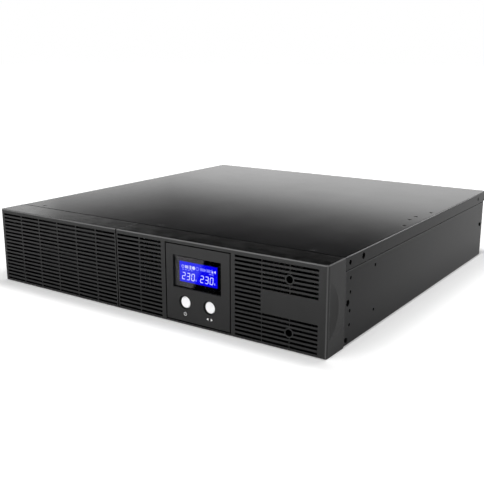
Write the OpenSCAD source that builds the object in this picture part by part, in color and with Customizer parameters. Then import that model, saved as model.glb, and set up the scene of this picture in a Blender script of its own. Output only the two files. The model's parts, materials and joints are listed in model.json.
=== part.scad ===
// Rack-mounted uninterruptible power supply, two rack units high, standing on its base.
// The origin is on the floor under the middle of the case. Seen from the front, +X runs to
// the right, +Y runs to the back and +Z is up. All sizes are in millimetres.

/* [Case] */
// Width across the lid
case_w = 440; // [430:1:446]
// Height of the case
case_h = 88; // [87:0.5:100]
// Depth from the front face to the rear edge of the lid
case_d = 450; // [446:1:600]
// Thickness of the sheet steel
sheet_t = 1.2; // [0.8:0.1:1.5]
// Height of the lid's side flanges
flange_h = 12.8; // [12:0.1:18]
// Length of lid that stands past the side walls at the back
lid_overhang = 4.5; // [4:0.5:8]
// Gap between sheets that lie on each other
sheet_gap = 0.1; // [0.05:0.05:0.2]
// Gap round the pieces that slide
slide_gap = 0.3; // [0.2:0.05:0.5]

/* [Front moulding] */
// Depth of the front moulding
bezel_d = 34; // [32:0.5:45]
// Thickness of its front, top and bottom walls
bezel_t = 3; // [2.4:0.1:3.4]
// Thickness of its side walls
bezel_side_t = 4.8; // [4:0.1:5.4]
// Height of its lower edge above the floor
bezel_lift = 0.5; // [0.2:0.1:1]
// Radius of the upright outer edges
corner_r = 3; // [1:0.5:4]
// Radius of the long upper and lower edges
edge_r = 1.2; // [0.5:0.1:2]
// Plain strip between the drawer's front plate and the battery door's inner edge
door_margin = 10.4; // [9:0.1:12]
// Gap between the battery door and the fixed moulding
seam = 1; // [0.5:0.1:1.5]
// Depth of the finger scoops in the sides
scoop_depth = 2.5; // [1:0.1:3]
// Radius of the ball that shapes a scoop
scoop_r = 183; // [120:1:260]
// Distance from the front face to the straight edge of a scoop
scoop_set = 4.5; // [3:0.1:8]

/* [Louvres] */
// Distance between slots
slot_pitch = 4.33; // [4:0.01:6]
// Height of a slot
slot_h = 2.3; // [1.5:0.1:2.8]
// Height of the lowest slot's middle
slot_z = 4.3; // [4:0.1:6]
// Plain margin above the highest slot's middle
slot_top = 5.7; // [5:0.1:9]
// Plain margin between the door's outer edge and its slots
slot_margin = 5.7; // [5.5:0.1:9]
// Width of the ribs behind the slots
rib_w = 2; // [1:0.1:3]
// Width of the thinner ribs of the right grille
thin_rib_w = 1; // [0.8:0.1:2]
// Distance from the front face to the ribs
rib_set = 0.9; // [0.4:0.1:1.4]
// Columns of slots in the battery door
door_columns = 6; // [3:1:8]
// Rows of slots that the bare plate interrupts
plate_rows = 5; // [3:2:9]
// Plain strip between the display module and the right grille
grille_gap = 6; // [5.5:0.1:9]
// Plain strip between the right grille and the outer edge
grille_margin = 9; // [8:0.1:14]

/* [Display module] */
// Height of the square display module's lower edge above the floor
display_low = 4.05; // [3.5:0.05:5]
// Plain strip of front above the display module
display_over = 5.25; // [5:0.05:7]
// Distance from the display module's middle to the right side of the case
display_inset = 144.6; // [143:0.1:146]
// Gap round the display module
display_gap = 1.3; // [0.5:0.1:1.5]
// Depth of the display module
display_d = 25.5; // [24:0.5:27]
// Thickness of its walls
display_t = 2; // [1.5:0.1:2.5]
// Plain strip of the module left of the screen's recess
screen_left = 8.6; // [8.5:0.1:11]
// Plain strip of the module right of the screen's recess
screen_right = 10.3; // [8.5:0.1:11]
// Plain strip of the module above the screen's recess
screen_over = 10.7; // [10.5:0.1:13]
// Height of the recess's lower edge above the module's lower edge
screen_under = 34.4; // [33:0.1:36]
// Depth of the recess over the screen
screen_set = 2.8; // [2:0.1:6]
// Thickness of the window pane
window_t = 1.2; // [1:0.1:2]
// Gap between the pane and the liquid crystal panel
panel_gap = 0.3; // [0.2:0.05:0.5]
// Lit width of the liquid crystal panel
lit_w = 48.8; // [40:0.1:50]
// Lit height of the liquid crystal panel
lit_h = 22.7; // [18:0.1:26]
// Distance of the lit area's middle to the left of the recess's middle
lit_shift = 0.2; // [0:0.1:3]
// Distance of the lit area's middle below the recess's middle
lit_drop = 0.25; // [0:0.05:2]

/* [Buttons] */
// Diameter of a button
button_dia = 12; // [10:0.1:13]
// Gap round a button
button_gap = 0.65; // [0.3:0.05:1]
// Distance between the two buttons
button_pitch = 30.5; // [26:0.1:34]
// Height of the buttons above the module's lower edge
button_rise = 20; // [19:0.1:21]
// Distance of the buttons' common middle to the left of the module's middle
button_shift = 0.4; // [0:0.1:2]
// Distance from the front face to the button's face
button_set = 0.8; // [0.2:0.1:1.5]
// Travel of a button
button_travel = 1.5; // [1:0.1:2]

/* [Rack holes] */
// Diameter of the tapped holes for the rack ears
ear_hole_dia = 3.4; // [3:0.1:5]
// Distance from the front face to the front column of rack holes
ear_y = 47.3; // [46:0.1:60]
// Distance from the front column to the rear column of rack holes
ear_column = 53.8; // [40:0.1:70]
// Distance of the rack holes' common middle below the middle of the case
ear_drop = 1.5; // [0:0.1:3]
// Distance between the outer rows of rack holes
ear_rows = 46.3; // [40:0.1:56]
// Distance between the inner rows of rack holes
ear_inner_rows = 18.3; // [14:0.1:30]

/* [Battery drawer] */
// Length of a battery, across the case
battery_l = 151; // [145:0.5:151.5]
// Thickness of a battery, upright in the drawer
battery_w = 65; // [60:0.5:68]
// Height of a battery without its terminals, along the drawer
battery_h = 94; // [90:0.5:96]
// Height of the terminals
terminal_h = 6; // [5:0.1:7]
// Gap between a battery and the drawer
battery_gap = 0.3; // [0.2:0.1:0.8]
// Height of the drawer's side walls
tray_wall_h = 34; // [20:1:60]
// Strip of front frame beside the drawer's window
window_strip = 3.5; // [2:0.1:4]
// Height of the strip of front frame above the drawer's window
window_over = 6; // [4:0.5:8]
// Width of the flange that the thumb screws hold
thumb_strip = 18; // [16:0.5:20]
// Diameter of a thumb screw's knurled head
thumb_dia = 11; // [9:0.5:12]
// Length of a thumb screw's knurled head
thumb_l = 9; // [7:0.5:10]
// Width of the drawer's handle
handle_w = 60; // [50:1:80]
// Distance that the handle stands out
handle_reach = 20; // [17:0.5:22]
// Room behind the drawer for the power plug
plug_room = 12; // [11:0.5:16]
// Length of plug that enters its socket
plug_nose = 8; // [6:0.5:10]
// Width of the power plug
plug_w = 36; // [30:1:40]
// Height of the power plug
plug_h = 20; // [16:1:24]

/* [Power section] */
// Length of the board behind the battery bay
comm_l = 42; // [38:1:60]
// Height of the spacers under the circuit boards
spacer_h = 8; // [6:0.5:10]
// Thickness of the circuit boards
board_t = 1.6; // [1:0.1:2]
// Height of the heatsinks
heatsink_h = 54; // [40:1:60]
// Length of the heatsinks
heatsink_l = 180; // [120:5:200]
// Thickness of a heatsink's base
sink_base = 5; // [3:0.5:6]
// Length of a heatsink's fins
sink_fin = 26; // [18:1:28]
// Thickness of a fin
fin_t = 1.6; // [1:0.1:2]
// Number of fins on a heatsink
fin_count = 8; // [5:1:10]
// Diameter of a bulk capacitor
capacitor_dia = 25; // [18:1:26]
// Height of a bulk capacitor
capacitor_h = 42; // [30:1:50]
// Outer diameter of the input choke
choke_dia = 38; // [28:1:40]
// Height of the input choke
choke_h = 18; // [12:1:20]
// Thickness of the core's stack of plates
core_stack = 60; // [40:1:64]
// Gap between the core and the lid
core_gap = 6.3; // [4:0.1:12]
// Thickness of the wire wound round the core beyond its stack
coil_bulge = 14; // [8:0.5:16]

/* [Fan] */
// Height of case that the fan's square frame leaves free
fan_free = 8; // [7:0.5:18]
// Depth of the fan's frame
fan_d = 25; // [20:0.5:32]
// Distance from a side of the fan's frame to its screws
fan_margin = 4.25; // [4:0.05:4.5]
// Distance from the middle of the fan to the right side of the case
fan_inset = 52; // [50:0.5:55]
// Number of blades
blade_count = 7; // [5:1:9]
// Diameter of the fan's shaft
shaft_dia = 3; // [2:0.1:4]

/* [Rear panel] */
// Distance from the chassis's rear edge to the rear panel's outer face
panel_set = 1.5; // [1:0.1:3]
// Distance between neighbouring outlets
outlet_pitch = 34; // [33:0.5:36]
// Columns of outlets
outlet_columns = 4; // [2:1:4]
// Height of the lower row of rear sockets
socket_z = 26; // [24:0.5:28]
// Distance between the two rows of rear sockets
socket_rows = 36; // [32:0.5:38]
// Plain strip between the expansion slot and the outlets
option_gap = 43.5; // [41:0.5:70]
// Height of the expansion slot
option_h = 34; // [28:1:36]

/* [Hidden] */
$fn = 48;
cut = 1; // length by which a cut runs past a face

// Planes of the case
front_y = -case_d / 2;
back_y = case_d / 2;
side_x = case_w / 2;
pan_x = side_x - sheet_t - sheet_gap;
pan_in = pan_x - sheet_t;
fold_x = pan_in - sheet_gap; // outer face of the flanges that lie inside the pan's walls
frame_y = front_y + bezel_d;
pan_back = back_y - lid_overhang;
lid_under = case_h - sheet_t;
wall_top = lid_under - sheet_gap;
panel_out = pan_back - panel_set;
panel_in = panel_out - sheet_t;
middle_z = case_h / 2;

// Drawer
battery_count = 3; // each has its own node
window_x0 = -pan_in + window_strip;
window_h = case_h - window_over;
tray_x0 = window_x0 + slide_gap;
battery_x0 = tray_x0 + sheet_t + battery_gap;
tray_x1 = battery_x0 + battery_l + battery_gap + sheet_t;
window_x1 = tray_x1 + slide_gap;
tray_z = sheet_t + slide_gap;
tray_front = frame_y - sheet_gap;
battery_pitch = battery_h + terminal_h + 1;
battery_y0 = frame_y + slide_gap + sheet_t + battery_gap;
tray_back = battery_y0 + battery_count * battery_pitch + sheet_t;
tray_back_h = 50; // height of the drawer's rear wall
front_plate_z = 4.5; // lower edge of the drawer's front plate, above the door's lower wall
battery_z = tray_z + sheet_t;
battery_r = 2;
case_joint = [8, 1, 0.8]; // the groove under a battery's lid: distance from the top, width and depth
terminal_set = 12; // distance from a battery's ends to the middle of its terminals
terminal_w = 6.4;
terminal_t = 0.8;
terminal_hole_r = 0.9;
strap_w = 14;
strap_set = 30; // distance from the batteries' right ends to the clamp strap
partition_x = window_x1 + slide_gap;
partition_foot = 10;
bay_back = tray_back + plug_room;
thumb_x = partition_x + thumb_strip / 2;
thumb_rows = [20, case_h - 22];
thumb_shank_r = 2;
thumb_hole_r = 2.3;
thumb_edge = 7; // width of the front plate beyond the thumb screws
knurl_r = 0.6;
handle_h = 10;
handle_leg = 5;
handle_bar = 4;
handle_foot = [10, 2]; // width and thickness
clip_places = [for (x = [tray_x0 + 12, tray_x1 - 12], z = [16, case_h - 16]) [x, z]];
clip_r = 2;
clip_w = 8;
clip_t = 1;
clip_l = 9;
plug_set = 60; // distance from the drawer's left wall to the middle of the plug
plug_x = tray_x0 + plug_set;
plug_z = 27;
plug_pin_r = 5;
socket_rim = 4;
socket_back = bay_back + sheet_t + plug_nose + 6;
lead_gap = 0.3;
battery_lead_r = 2;
power_lead_r = 2.5;
mains_lead_r = 1.5;

// Front moulding
door_x1 = thumb_x + thumb_edge + door_margin;
bezel_x0 = door_x1 + seam;
inner_wall = 2; // thickness of the walls at the seam
slot_rows = floor((case_h - slot_top - slot_z) / slot_pitch + 0.01) + 1;
all_rows = [0:slot_rows - 1];
plate_row0 = floor((slot_rows - plate_rows) / 2);
plate_row1 = plate_row0 + plate_rows;
open_rows = [for (i = all_rows) if (i < plate_row0 || i >= plate_row1) i];
bar_gap = 1.3; // plain strip between the seam and the slots of the fixed moulding
door_strip = 1.9; // plain strip between the seam and the slots of the door
scoop_lead = 8.1; // distance from a scoop's middle to the front face

// Screws of the case
screw_r = 1.5;
screw_gap = 0.1;
screw_hole_r = screw_r + screw_gap;
flat_head_r = 2.6;
flat_head_side_r = 2.4;
flat_screw_l = 7;
side_screw_l = 4;
lid_screw_back = back_y - 33;
lid_screw_front = frame_y + 8;
lid_screws_x = [-side_x + 29.3, bezel_x0 + 26, side_x - 38.3];
side_screws = [[frame_y + 7.7, 5.5], [panel_in - 6, middle_z]];
frame_fold = 15;
panel_fold = 12;
flange_notch = [5, 1.4];

// Holes in the sides and the lid. Each hole in the lid's flanges has its distance from the front
// face, its distance below the top and its diameter
ear_z = middle_z - ear_drop;
seat_y = 42.7;
seat_z = ear_z - 0.5;
seat_r = 3.25;
flange_holes = [[42.7, 6.4, 4.6], [70.3, 6.2, 6.3]];
// Holes in the lid, each with its distance from the side and from the front face
lid_holes = [[8.5, 187], [14.7, 218], [14.7, 237], [8.5, 267.5]];
lid_hole_r = 2.1;

// Display module
display_s = case_h - display_low - display_over;
display_x = side_x - display_inset;
display_z = display_low + display_s / 2;
display_lo = [display_x - display_s / 2, display_low];
display_hi = [display_x + display_s / 2, display_low + display_s];
screen_w = display_s - screen_left - screen_right;
screen_h = display_s - screen_over - screen_under;
screen_x = display_lo[0] + screen_left + screen_w / 2;
screen_z = display_lo[1] + screen_under + screen_h / 2;
screen_lip = 2.5; // width of the pane's edge behind the housing's face
lit_x = screen_x - lit_shift;
lit_z = screen_z - lit_drop;
button_x = display_x - button_shift;
button_z = display_lo[1] + button_rise;
collar_l = 6;
collar_t = 1.6;
flange_t = 1;
stem_r = 2.2;
board_front = front_y + 19;
board_inset = 4.8; // distance from the module's sides to its board's pillars
pillar_r = 3;
switch_s = 6;
switch_h = 4.5;
switch_tip_r = 1.7;
button_back = board_front - switch_h - button_travel - sheet_gap;
cable_r = 2;
cable_hole_r = 10;
cable_end = front_y + 90;

// Pocket for the display module, and the right grille
pocket_s = display_s + 2 * display_gap;
pocket_wall = 2;
pocket_floor = front_y + display_d + slide_gap;
grille_x0 = display_hi[0] + grille_gap;
grille_x1 = side_x - grille_margin;
left_grille_gap = 6.6; // plain strip between the left grille and the display module
grille_pitch = (grille_x1 - grille_x0 + thin_rib_w) / 3;
access_x = grille_x1 - grille_pitch + thin_rib_w / 2;
access_rows = [17.8, case_h - 19];
access_dia = 7;
access_boss = 9.6;
bezel_screw_head = [3.2, 2]; // radius and height

// Power section: the boards, then what stands on them from the right wall to the bay
board_z = sheet_t + spacer_h;
board_top = board_z + board_t;
board_bay_gap = 8;
board_wall_gap = 6;
board_front_gap = 40; // from the front frame to the main board
board_rear_gap = 42; // from the main board to the fan
board_x0 = partition_x + board_bay_gap;
board_x1 = pan_in - board_wall_gap;
board_y0 = frame_y + board_front_gap;
board_y1 = panel_in - fan_d - board_rear_gap;
spacer_r = 3;
sink_gap = 27.5; // between the right heatsink and the wall
sink_room = 94; // across both heatsinks
sink_right = pan_in - sink_gap;
sink_left = sink_right - sink_room;
sink_set = 20; // from the board's front edge to the heatsinks
sink_y0 = board_y0 + sink_set;
step_gap = 12; // from the step in the board to the left heatsink
board_step_x = sink_left - step_gap;
foot_l = 12;
core_bay_gap = 15; // from the bay to the transformer's feet
core_board_gap = 8; // from the transformer's feet to the step in the board
core_x0 = partition_x + core_bay_gap + foot_l;
core_x1 = board_step_x - core_board_gap - foot_l;
core_w = core_x1 - core_x0;
core_x = (core_x0 + core_x1) / 2;
core_set = 32.8; // from the board's rear edge to the middle of the core
core_y = board_y1 - core_set;
core_z = 2 * sheet_t;
core_h = wall_top - core_gap - core_z;
core_front_gap = 32; // from the core to the step in the board
board_step_y = core_y - core_stack / 2 - core_front_gap;
leg_w = core_w / 6;
coil_gap = 0.5;
coil_r = 10;
bracket_w = 40;
bracket_holes = 24; // distance between the two screws in a foot
bracket_screw_r = 1.7;
transistor = [5, 16, 21]; // thickness, width and height of a power transistor
transistor_count = 6;
transistor_z = 12;
leg_pitch = 5.4;
capacitor_gap = 52; // from the left heatsink to the right column of capacitors
capacitor_set = 42;
capacitor_x = sink_left - capacitor_gap;
capacitor_y = board_y0 + capacitor_set;
capacitor_pitch = 30;
choke_gap = 40;
choke_x = sink_left - choke_gap;
choke_y = board_step_y - choke_gap;
fin_margin = 2; // from a heatsink's upper and lower edges to its outer fins
fin_root = 0.5;
transistor_set = 18; // from a heatsink's end to the middle of a transistor
relay_set = [10, 20];
fuse_set = 14;
coil_groove_r = 0.7;
relay = [28, 12.5, 16];
relay_pitch = 22;
relay_count = 5;
choke_hole = 16;
fuse = [5, 19, 8];
fuse_pitch = 14;

// Fan
fan_s = case_h - fan_free;
fan_pitch = fan_s - 2 * fan_margin;
fan_x = side_x - fan_inset;
fan_bore_r = fan_s / 2 - 1.5;
fan_hole_r = 2.2;
fan_plate = 4; // thickness of the frame's end plates
fan_spoke = 3;
hub_r = fan_s * 0.2125;
hub_wall = 1.6;
bearing_r = 5;
blade_turn = 360 / blade_count;
blade_bend = 30; // radius of a blade's curved section
blade_t = 1.4;
blade_gap = 2.5; // from the blades' tips to the frame's sides
guard_r = 0.9;
guard_first = 0.1625 * fan_s; // radius of the guard's innermost ring
guard_pitch = 0.1125 * fan_s;
guard_bar_r = 0.8;
guard_tab_r = 4;
guard_tab_t = 2 * guard_bar_r;
guard_bar_end = 2.5; // from the end of a guard's bar to the screw at its corner
fan_screw = [2, 3.6, 2, 12]; // thread radius, head radius, head height and length

// Rear panel
inlet_x = fan_x - fan_s / 2 - 24;
outlet_x = inlet_x - outlet_pitch;
outlet_body = [28.5, 21.5];
outlet_face = [32, 26];
outlet_corner = 2.5;
outlet_depth = 24;
face_t = 2;
socket_gap = 0.2;
contact_pitch = 14;
earth_rise = 4;
pin = [2, 4];
pin_tail = 6;
pin_back = 4; // from the face of the mains inlet to the tips of its pins
inlet_key = [24.4, 16.8, 4.5]; // width, height and corner cut of a keyed outline
outlet_ring = [26.8, 19.4, 5];
outlet_core = [22.7, 15.2, 4];
inlet_bore = 17;
outlet_bore = 16;
contact_bore = 15;
shaft_gap = 0.05;
outlets_x0 = outlet_x - (outlet_columns - 1) * outlet_pitch - outlet_face[0] / 2;
option_x0 = -pan_in + 8;
option_x1 = outlets_x0 - option_gap;
option_z = wall_top - 8 - option_h / 2;
option_tab = 8;
option_hole_r = 1.7;
board_gap = 1; // from the board to the rear panel
comm_z = board_top;
comm_y0 = panel_in - board_gap - comm_l;
usb_x = -pan_in + 19.5;
serial_x = -pan_in + 57.5;
jacks_x = -pan_in + 105.5;
usb_size = [12, 11, 16];
serial_size = [31, 12.5, 14];
jacks_size = [32, 13.5, 18];
port_gap = 0.3;
port_proud = 0.4;
breaker_r = 7;
breaker_rim_r = 9;
breaker_box = [16, 24, 28];
breaker_neck = 12;
breaker_travel = 4;
breaker_stem_r = 4;
breaker_flange_r = 5.2;
breaker_gap = 0.2;
breaker_rim = 2.5;
lead_lane_z = 36;
ear_nut_r = 3.5;
ear_nut_l = 3;

// ---- Shared shapes ----

module box(lo, hi) translate(lo) cube(hi - lo);
module along_x(x0, x1) translate([x0, 0, 0]) rotate([90, 0, 90]) linear_extrude(x1 - x0) children();
module along_y(y0, y1) translate([0, y1, 0]) rotate([90, 0, 0]) linear_extrude(y1 - y0) children();
module along_z(z0, z1) translate([0, 0, z0]) linear_extrude(z1 - z0) children();
module rod_x(x0, x1, y, z, r) translate([x0, y, z]) rotate([0, 90, 0]) cylinder(h = x1 - x0, r = r);
module rod_y(x, y0, y1, z, r) translate([x, y0, z]) rotate([-90, 0, 0]) cylinder(h = y1 - y0, r = r);
module rod_z(x, y, z0, z1, r) translate([x, y, z0]) cylinder(h = z1 - z0, r = r);

module rounded(x0, y0, x1, y1, r) {
    translate([x0 + r, y0]) square([x1 - x0 - 2 * r, y1 - y0]);
    translate([x0, y0 + r]) square([x1 - x0, y1 - y0 - 2 * r]);
    for (x = [x0 + r, x1 - r], y = [y0 + r, y1 - r]) translate([x, y]) circle(r = r);
}

// The cross that a screwdriver fits, as wide as size and sunk by depth below the origin
module cross_recess(size, depth) for (a = [0, 90]) rotate([0, 0, a])
    translate([-size / 2, -size / 10, -depth]) cube([size, size / 5, depth + cut]);

// A low domed screw along +Z: its head's seat is at the origin and its shank runs down
module pan_screw(r, head_r, head_h, length) difference() {
    rotate_extrude() polygon([
        [0, -length], [r * 0.85, -length], [r, -length + r / 4], [r, 0], [head_r, 0],
        [head_r, head_h * 0.5], [head_r * 0.8, head_h * 0.85], [head_r * 0.45, head_h], [0, head_h],
    ]);
    translate([0, 0, head_h]) cross_recess(head_r, head_h * 0.6);
}

// A countersunk screw along +Z: its head's flat top is at the origin
module flat_screw(r, head_r, length) difference() {
    rotate_extrude() polygon([
        [0, -length], [r, -length], [r, r - head_r], [head_r, -0.01], [head_r, 0], [0, 0],
    ]);
    cross_recess(head_r * 1.2, head_r / 3);
}
module flat_screw_hole(r, head_r) rotate_extrude() polygon([
    [0, -4 * sheet_t], [r + screw_gap, -4 * sheet_t],
    [r + screw_gap, r - head_r], [head_r + screw_gap, 0],
    [head_r + screw_gap, cut], [0, cut],
]);

// A round lead swept along a route of points
function unit(v) = v / norm(v);
function curve_at(a, b, c, d, t) =
    0.5 * (
        2 * b + (c - a) * t
        + (2 * a - 5 * b + 4 * c - d) * t * t
        + (3 * b - a - 3 * c + d) * t * t * t
    );
function smooth(p, steps) = [
    for (i = [0:len(p) - 2], s = [0:steps - 1])
        curve_at(p[max(i - 1, 0)], p[i], p[i + 1], p[min(i + 2, len(p) - 1)], s / steps),
    p[len(p) - 1],
];
function heading(p, i) = unit(p[min(i + 1, len(p) - 1)] - p[max(i - 1, 0)]);
// Carries a direction square to the route from each point to the next, so that the tube never twists
function across(p, i, last) =
    let (t = heading(p, i), u = unit(last - (last * t) * t))
        i == len(p) - 1 ? [u] : concat([u], across(p, i + 1, u));
module lead(route, r, steps = 3, sides = 8) {
    p = smooth(route, steps);
    n = len(p);
    start = heading(p, 0);
    u = across(p, 0, abs(start[2]) > 0.8 ? [1, 0, 0] : [0, 0, 1]);
    rings = [
        for (i = [0:n - 1], k = [0:sides - 1])
            p[i] + r * (cos(360 * k / sides) * u[i] + sin(360 * k / sides) * cross(u[i], heading(p, i))),
    ];
    walls = [
        for (i = [0:n - 2], k = [0:sides - 1])
            let (a = i * sides + k, b = i * sides + (k + 1) % sides)
                [a, b, b + sides, a + sides],
    ];
    ends = [[for (k = [0:sides - 1]) sides - 1 - k], [for (k = [0:sides - 1]) (n - 1) * sides + k]];
    polyhedron(points = rings, faces = concat(walls, ends), convexity = 4);
}

// ---- Sheet metal ----

// Cross-section of a sheet folded down at both sides, with its folds rounded outside
module folded_section(half, z0, z1) difference() {
    union() {
        translate([-half, z0]) square([2 * half, z1 - z0 - sheet_t]);
        translate([-half + sheet_t, z0]) square([2 * (half - sheet_t), z1 - z0]);
        for (s = [-1, 1]) translate([s * (half - sheet_t), z1 - sheet_t]) circle(r = sheet_t);
    }
    translate([-half + sheet_t, z0 - cut]) square([2 * (half - sheet_t), z1 - z0 - sheet_t + cut]);
}

// A hole through both side walls, which lie at x and -x
module side_holes(x, y, z, r) for (s = [-1, 1]) rod_x(s * x - 2 * sheet_t, s * x + 2 * sheet_t, y, z, r);

module rack_holes() {
    for (z = [-ear_rows / 2, ear_rows / 2], y = [0, ear_column])
        translate([0, front_y + ear_y + y, ear_z + z]) children();
    for (z = [-ear_inner_rows / 2, ear_inner_rows / 2])
        translate([0, front_y + ear_y, ear_z + z]) children();
}

module chassis_pan() color([0.2, 0.2, 0.21]) difference() {
    along_y(frame_y + sheet_gap, pan_back) mirror([0, 1]) folded_section(pan_x, -wall_top, 0);
    rack_holes() side_holes(pan_x, 0, 0, ear_hole_dia / 2);
    side_holes(pan_x, front_y + seat_y, seat_z, seat_r);
    for (p = flange_holes) side_holes(pan_x, front_y + p[0], case_h - p[1], p[2] / 2);
    for (p = side_screws) side_holes(pan_x, p[0], p[1], screw_hole_r);
    side_holes(pan_x, lid_screw_back, case_h - flange_h / 2, screw_hole_r);
}

module top_cover() color([0.2, 0.2, 0.21]) difference() {
    along_y(frame_y + 2 * sheet_gap, back_y) folded_section(side_x, case_h - flange_h, case_h);
    for (x = lid_screws_x) translate([x, lid_screw_front, case_h]) flat_screw_hole(screw_r, flat_head_r);
    for (p = flange_holes) side_holes(side_x, front_y + p[0], case_h - p[1], p[2] / 2);
    for (s = [-1, 1]) {
        translate([s * side_x, lid_screw_back, case_h - flange_h / 2])
            rotate([0, s * 90, 0]) flat_screw_hole(screw_r, flat_head_side_r);
        notch_x = s > 0 ? side_x - sheet_t - cut : -side_x - cut;
        box(
            [notch_x, pan_back - flange_notch[0], case_h - flange_h - cut],
            [notch_x + sheet_t + 2 * cut, pan_back, case_h - flange_h + flange_notch[1]]
        );
    }
    for (p = lid_holes) rod_z(side_x - p[0], front_y + p[1], lid_under - cut, case_h + cut, lid_hole_r);
}

// Upright slots that let air through the front frame
module air_slots(x0, x1) {
    width = 3;
    pitch = 6.5;
    count = floor((x1 - x0 - width) / pitch) + 1;
    for (i = [0:count - 1]) box(
        [x0 + i * pitch, frame_y - cut, 12],
        [x0 + i * pitch + width, frame_y + sheet_t + cut, case_h - 14]
    );
}

// The upright sheet behind the front moulding, folded back along its top and sides
module front_frame() color([0.2, 0.2, 0.21]) difference() {
    union() {
        box([-fold_x, frame_y, sheet_t], [fold_x, frame_y + sheet_t, wall_top]);
        box([-fold_x, frame_y, wall_top - sheet_t], [fold_x, frame_y + frame_fold, wall_top]);
        for (x = [-fold_x, fold_x - sheet_t])
            box([x, frame_y, sheet_t], [x + sheet_t, frame_y + frame_fold, wall_top]);
    }
    box([window_x0, frame_y - cut, sheet_t - cut], [window_x1, frame_y + sheet_t + cut, window_h]);
    box(
        [-pan_in + window_strip - slide_gap, frame_y + sheet_t, sheet_t - cut],
        [window_x1, frame_y + frame_fold + cut, tray_z + 2 * sheet_t]
    );
    air_slots(bezel_x0 + 6, display_lo[0] - 8);
    air_slots(grille_x0 + 4, access_x - 8);
    air_slots(access_x + 6, grille_x1 - 4);
    rod_y(display_x, frame_y - cut, frame_y + sheet_t + cut, display_z, cable_hole_r);
    for (z = thumb_rows) rod_y(thumb_x, frame_y - cut, frame_y + sheet_t + cut, z, thumb_hole_r);
    for (z = access_rows) rod_y(access_x, frame_y - cut, frame_y + sheet_t + cut, z, screw_hole_r);
    for (x = lid_screws_x)
        rod_z(x, lid_screw_front, wall_top - 2 * sheet_t, wall_top + cut, screw_hole_r);
    side_holes(pan_in, side_screws[0][0], side_screws[0][1], screw_hole_r);
    side_holes(pan_in, front_y + seat_y, seat_z, seat_r);
    first_hole = flange_holes[0];
    side_holes(pan_in, front_y + first_hole[0], case_h - first_hole[1], first_hole[2] / 2);
    for (z = [-ear_rows, -ear_inner_rows, ear_inner_rows, ear_rows])
        side_holes(pan_in, front_y + ear_y, ear_z + z / 2, ear_nut_r + sheet_gap);
}

// The bay's side wall and rear wall, folded from one sheet, with a foot on the floor
module bay_partition() color([0.55, 0.55, 0.55]) difference() {
    union() {
        box(
            [partition_x, frame_y + frame_fold, sheet_t],
            [partition_x + sheet_t, bay_back + sheet_t, wall_top]
        );
        box([-fold_x, bay_back, sheet_t], [partition_x + sheet_t, bay_back + sheet_t, wall_top]);
        box(
            [partition_x, frame_y + frame_fold, sheet_t],
            [partition_x + partition_foot, bay_back + sheet_t, 2 * sheet_t]
        );
    }
    box(
        [plug_x - plug_w / 2 - 2, bay_back - cut, plug_z - plug_h / 2 - 2],
        [plug_x + plug_w / 2 + 2, bay_back + sheet_t + cut, plug_z + plug_h / 2 + 2]
    );
}

module rear_cutouts() {
    rod_y(fan_x, panel_in - cut, panel_out + cut, middle_z, fan_bore_r);
    for (x = [-fan_pitch / 2, fan_pitch / 2], z = [-fan_pitch / 2, fan_pitch / 2])
        rod_y(fan_x + x, panel_in - cut, panel_out + cut, middle_z + z, fan_hole_r);
    for (c = [0:outlet_columns - 1], r = [0, 1])
        along_y(panel_in - cut, panel_out + cut) socket_outline(c, r, socket_gap);
    along_y(panel_in - cut, panel_out + cut) socket_outline(-1, 1, socket_gap);
    rod_y(inlet_x, panel_in - cut, panel_out + cut, socket_z, breaker_r + socket_gap);
    box(
        [option_x0, panel_in - cut, option_z - option_h / 2],
        [option_x1, panel_out + cut, option_z + option_h / 2]
    );
    for (x = [option_x0 - option_tab / 2, option_x1 + option_tab / 2])
        rod_y(x, panel_in - cut, panel_out + cut, option_z, option_hole_r);
    port_hole(usb_x, usb_size);
    port_hole(serial_x, serial_size);
    port_hole(jacks_x, jacks_size);
}
module port_hole(x, size) box(
    [x - size[0] / 2 - port_gap, panel_in - cut, comm_z - port_gap],
    [x + size[0] / 2 + port_gap, panel_out + cut, comm_z + size[1] + port_gap]
);
module rear_panel() color([0.2, 0.2, 0.21]) difference() {
    union() {
        box([-fold_x, panel_in, sheet_t], [fold_x, panel_out, wall_top]);
        for (x = [-fold_x, fold_x - sheet_t])
            box([x, panel_in - panel_fold, sheet_t], [x + sheet_t, panel_out, wall_top]);
    }
    rear_cutouts();
    side_holes(pan_in, side_screws[1][0], side_screws[1][1], screw_hole_r);
}

// ---- Front moulding ----

module moulding(x0, x1) difference() {
    intersection() {
        along_z(bezel_lift, case_h) rounded(-side_x, front_y, side_x, frame_y + 3 * corner_r, corner_r);
        along_x(x0, x1) rounded(front_y, bezel_lift, frame_y + 3 * corner_r, case_h, edge_r);
        box([x0, front_y, 0], [x1, frame_y, case_h + cut]);
    }
    left_wall = x0 < -side_x + cut ? bezel_side_t : inner_wall;
    right_wall = x1 > side_x - cut ? bezel_side_t : inner_wall;
    box(
        [x0 + left_wall, front_y + bezel_t, bezel_lift + bezel_t],
        [x1 - right_wall, frame_y + cut, case_h - bezel_t]
    );
}
module slot_grid(x0, x1, rows, columns, rib) {
    step = (x1 - x0 + rib) / columns;
    for (i = rows, c = [0:columns - 1])
        translate([x0 + c * step, slot_z + i * slot_pitch - slot_h / 2]) square([step - rib, slot_h]);
}
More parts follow.
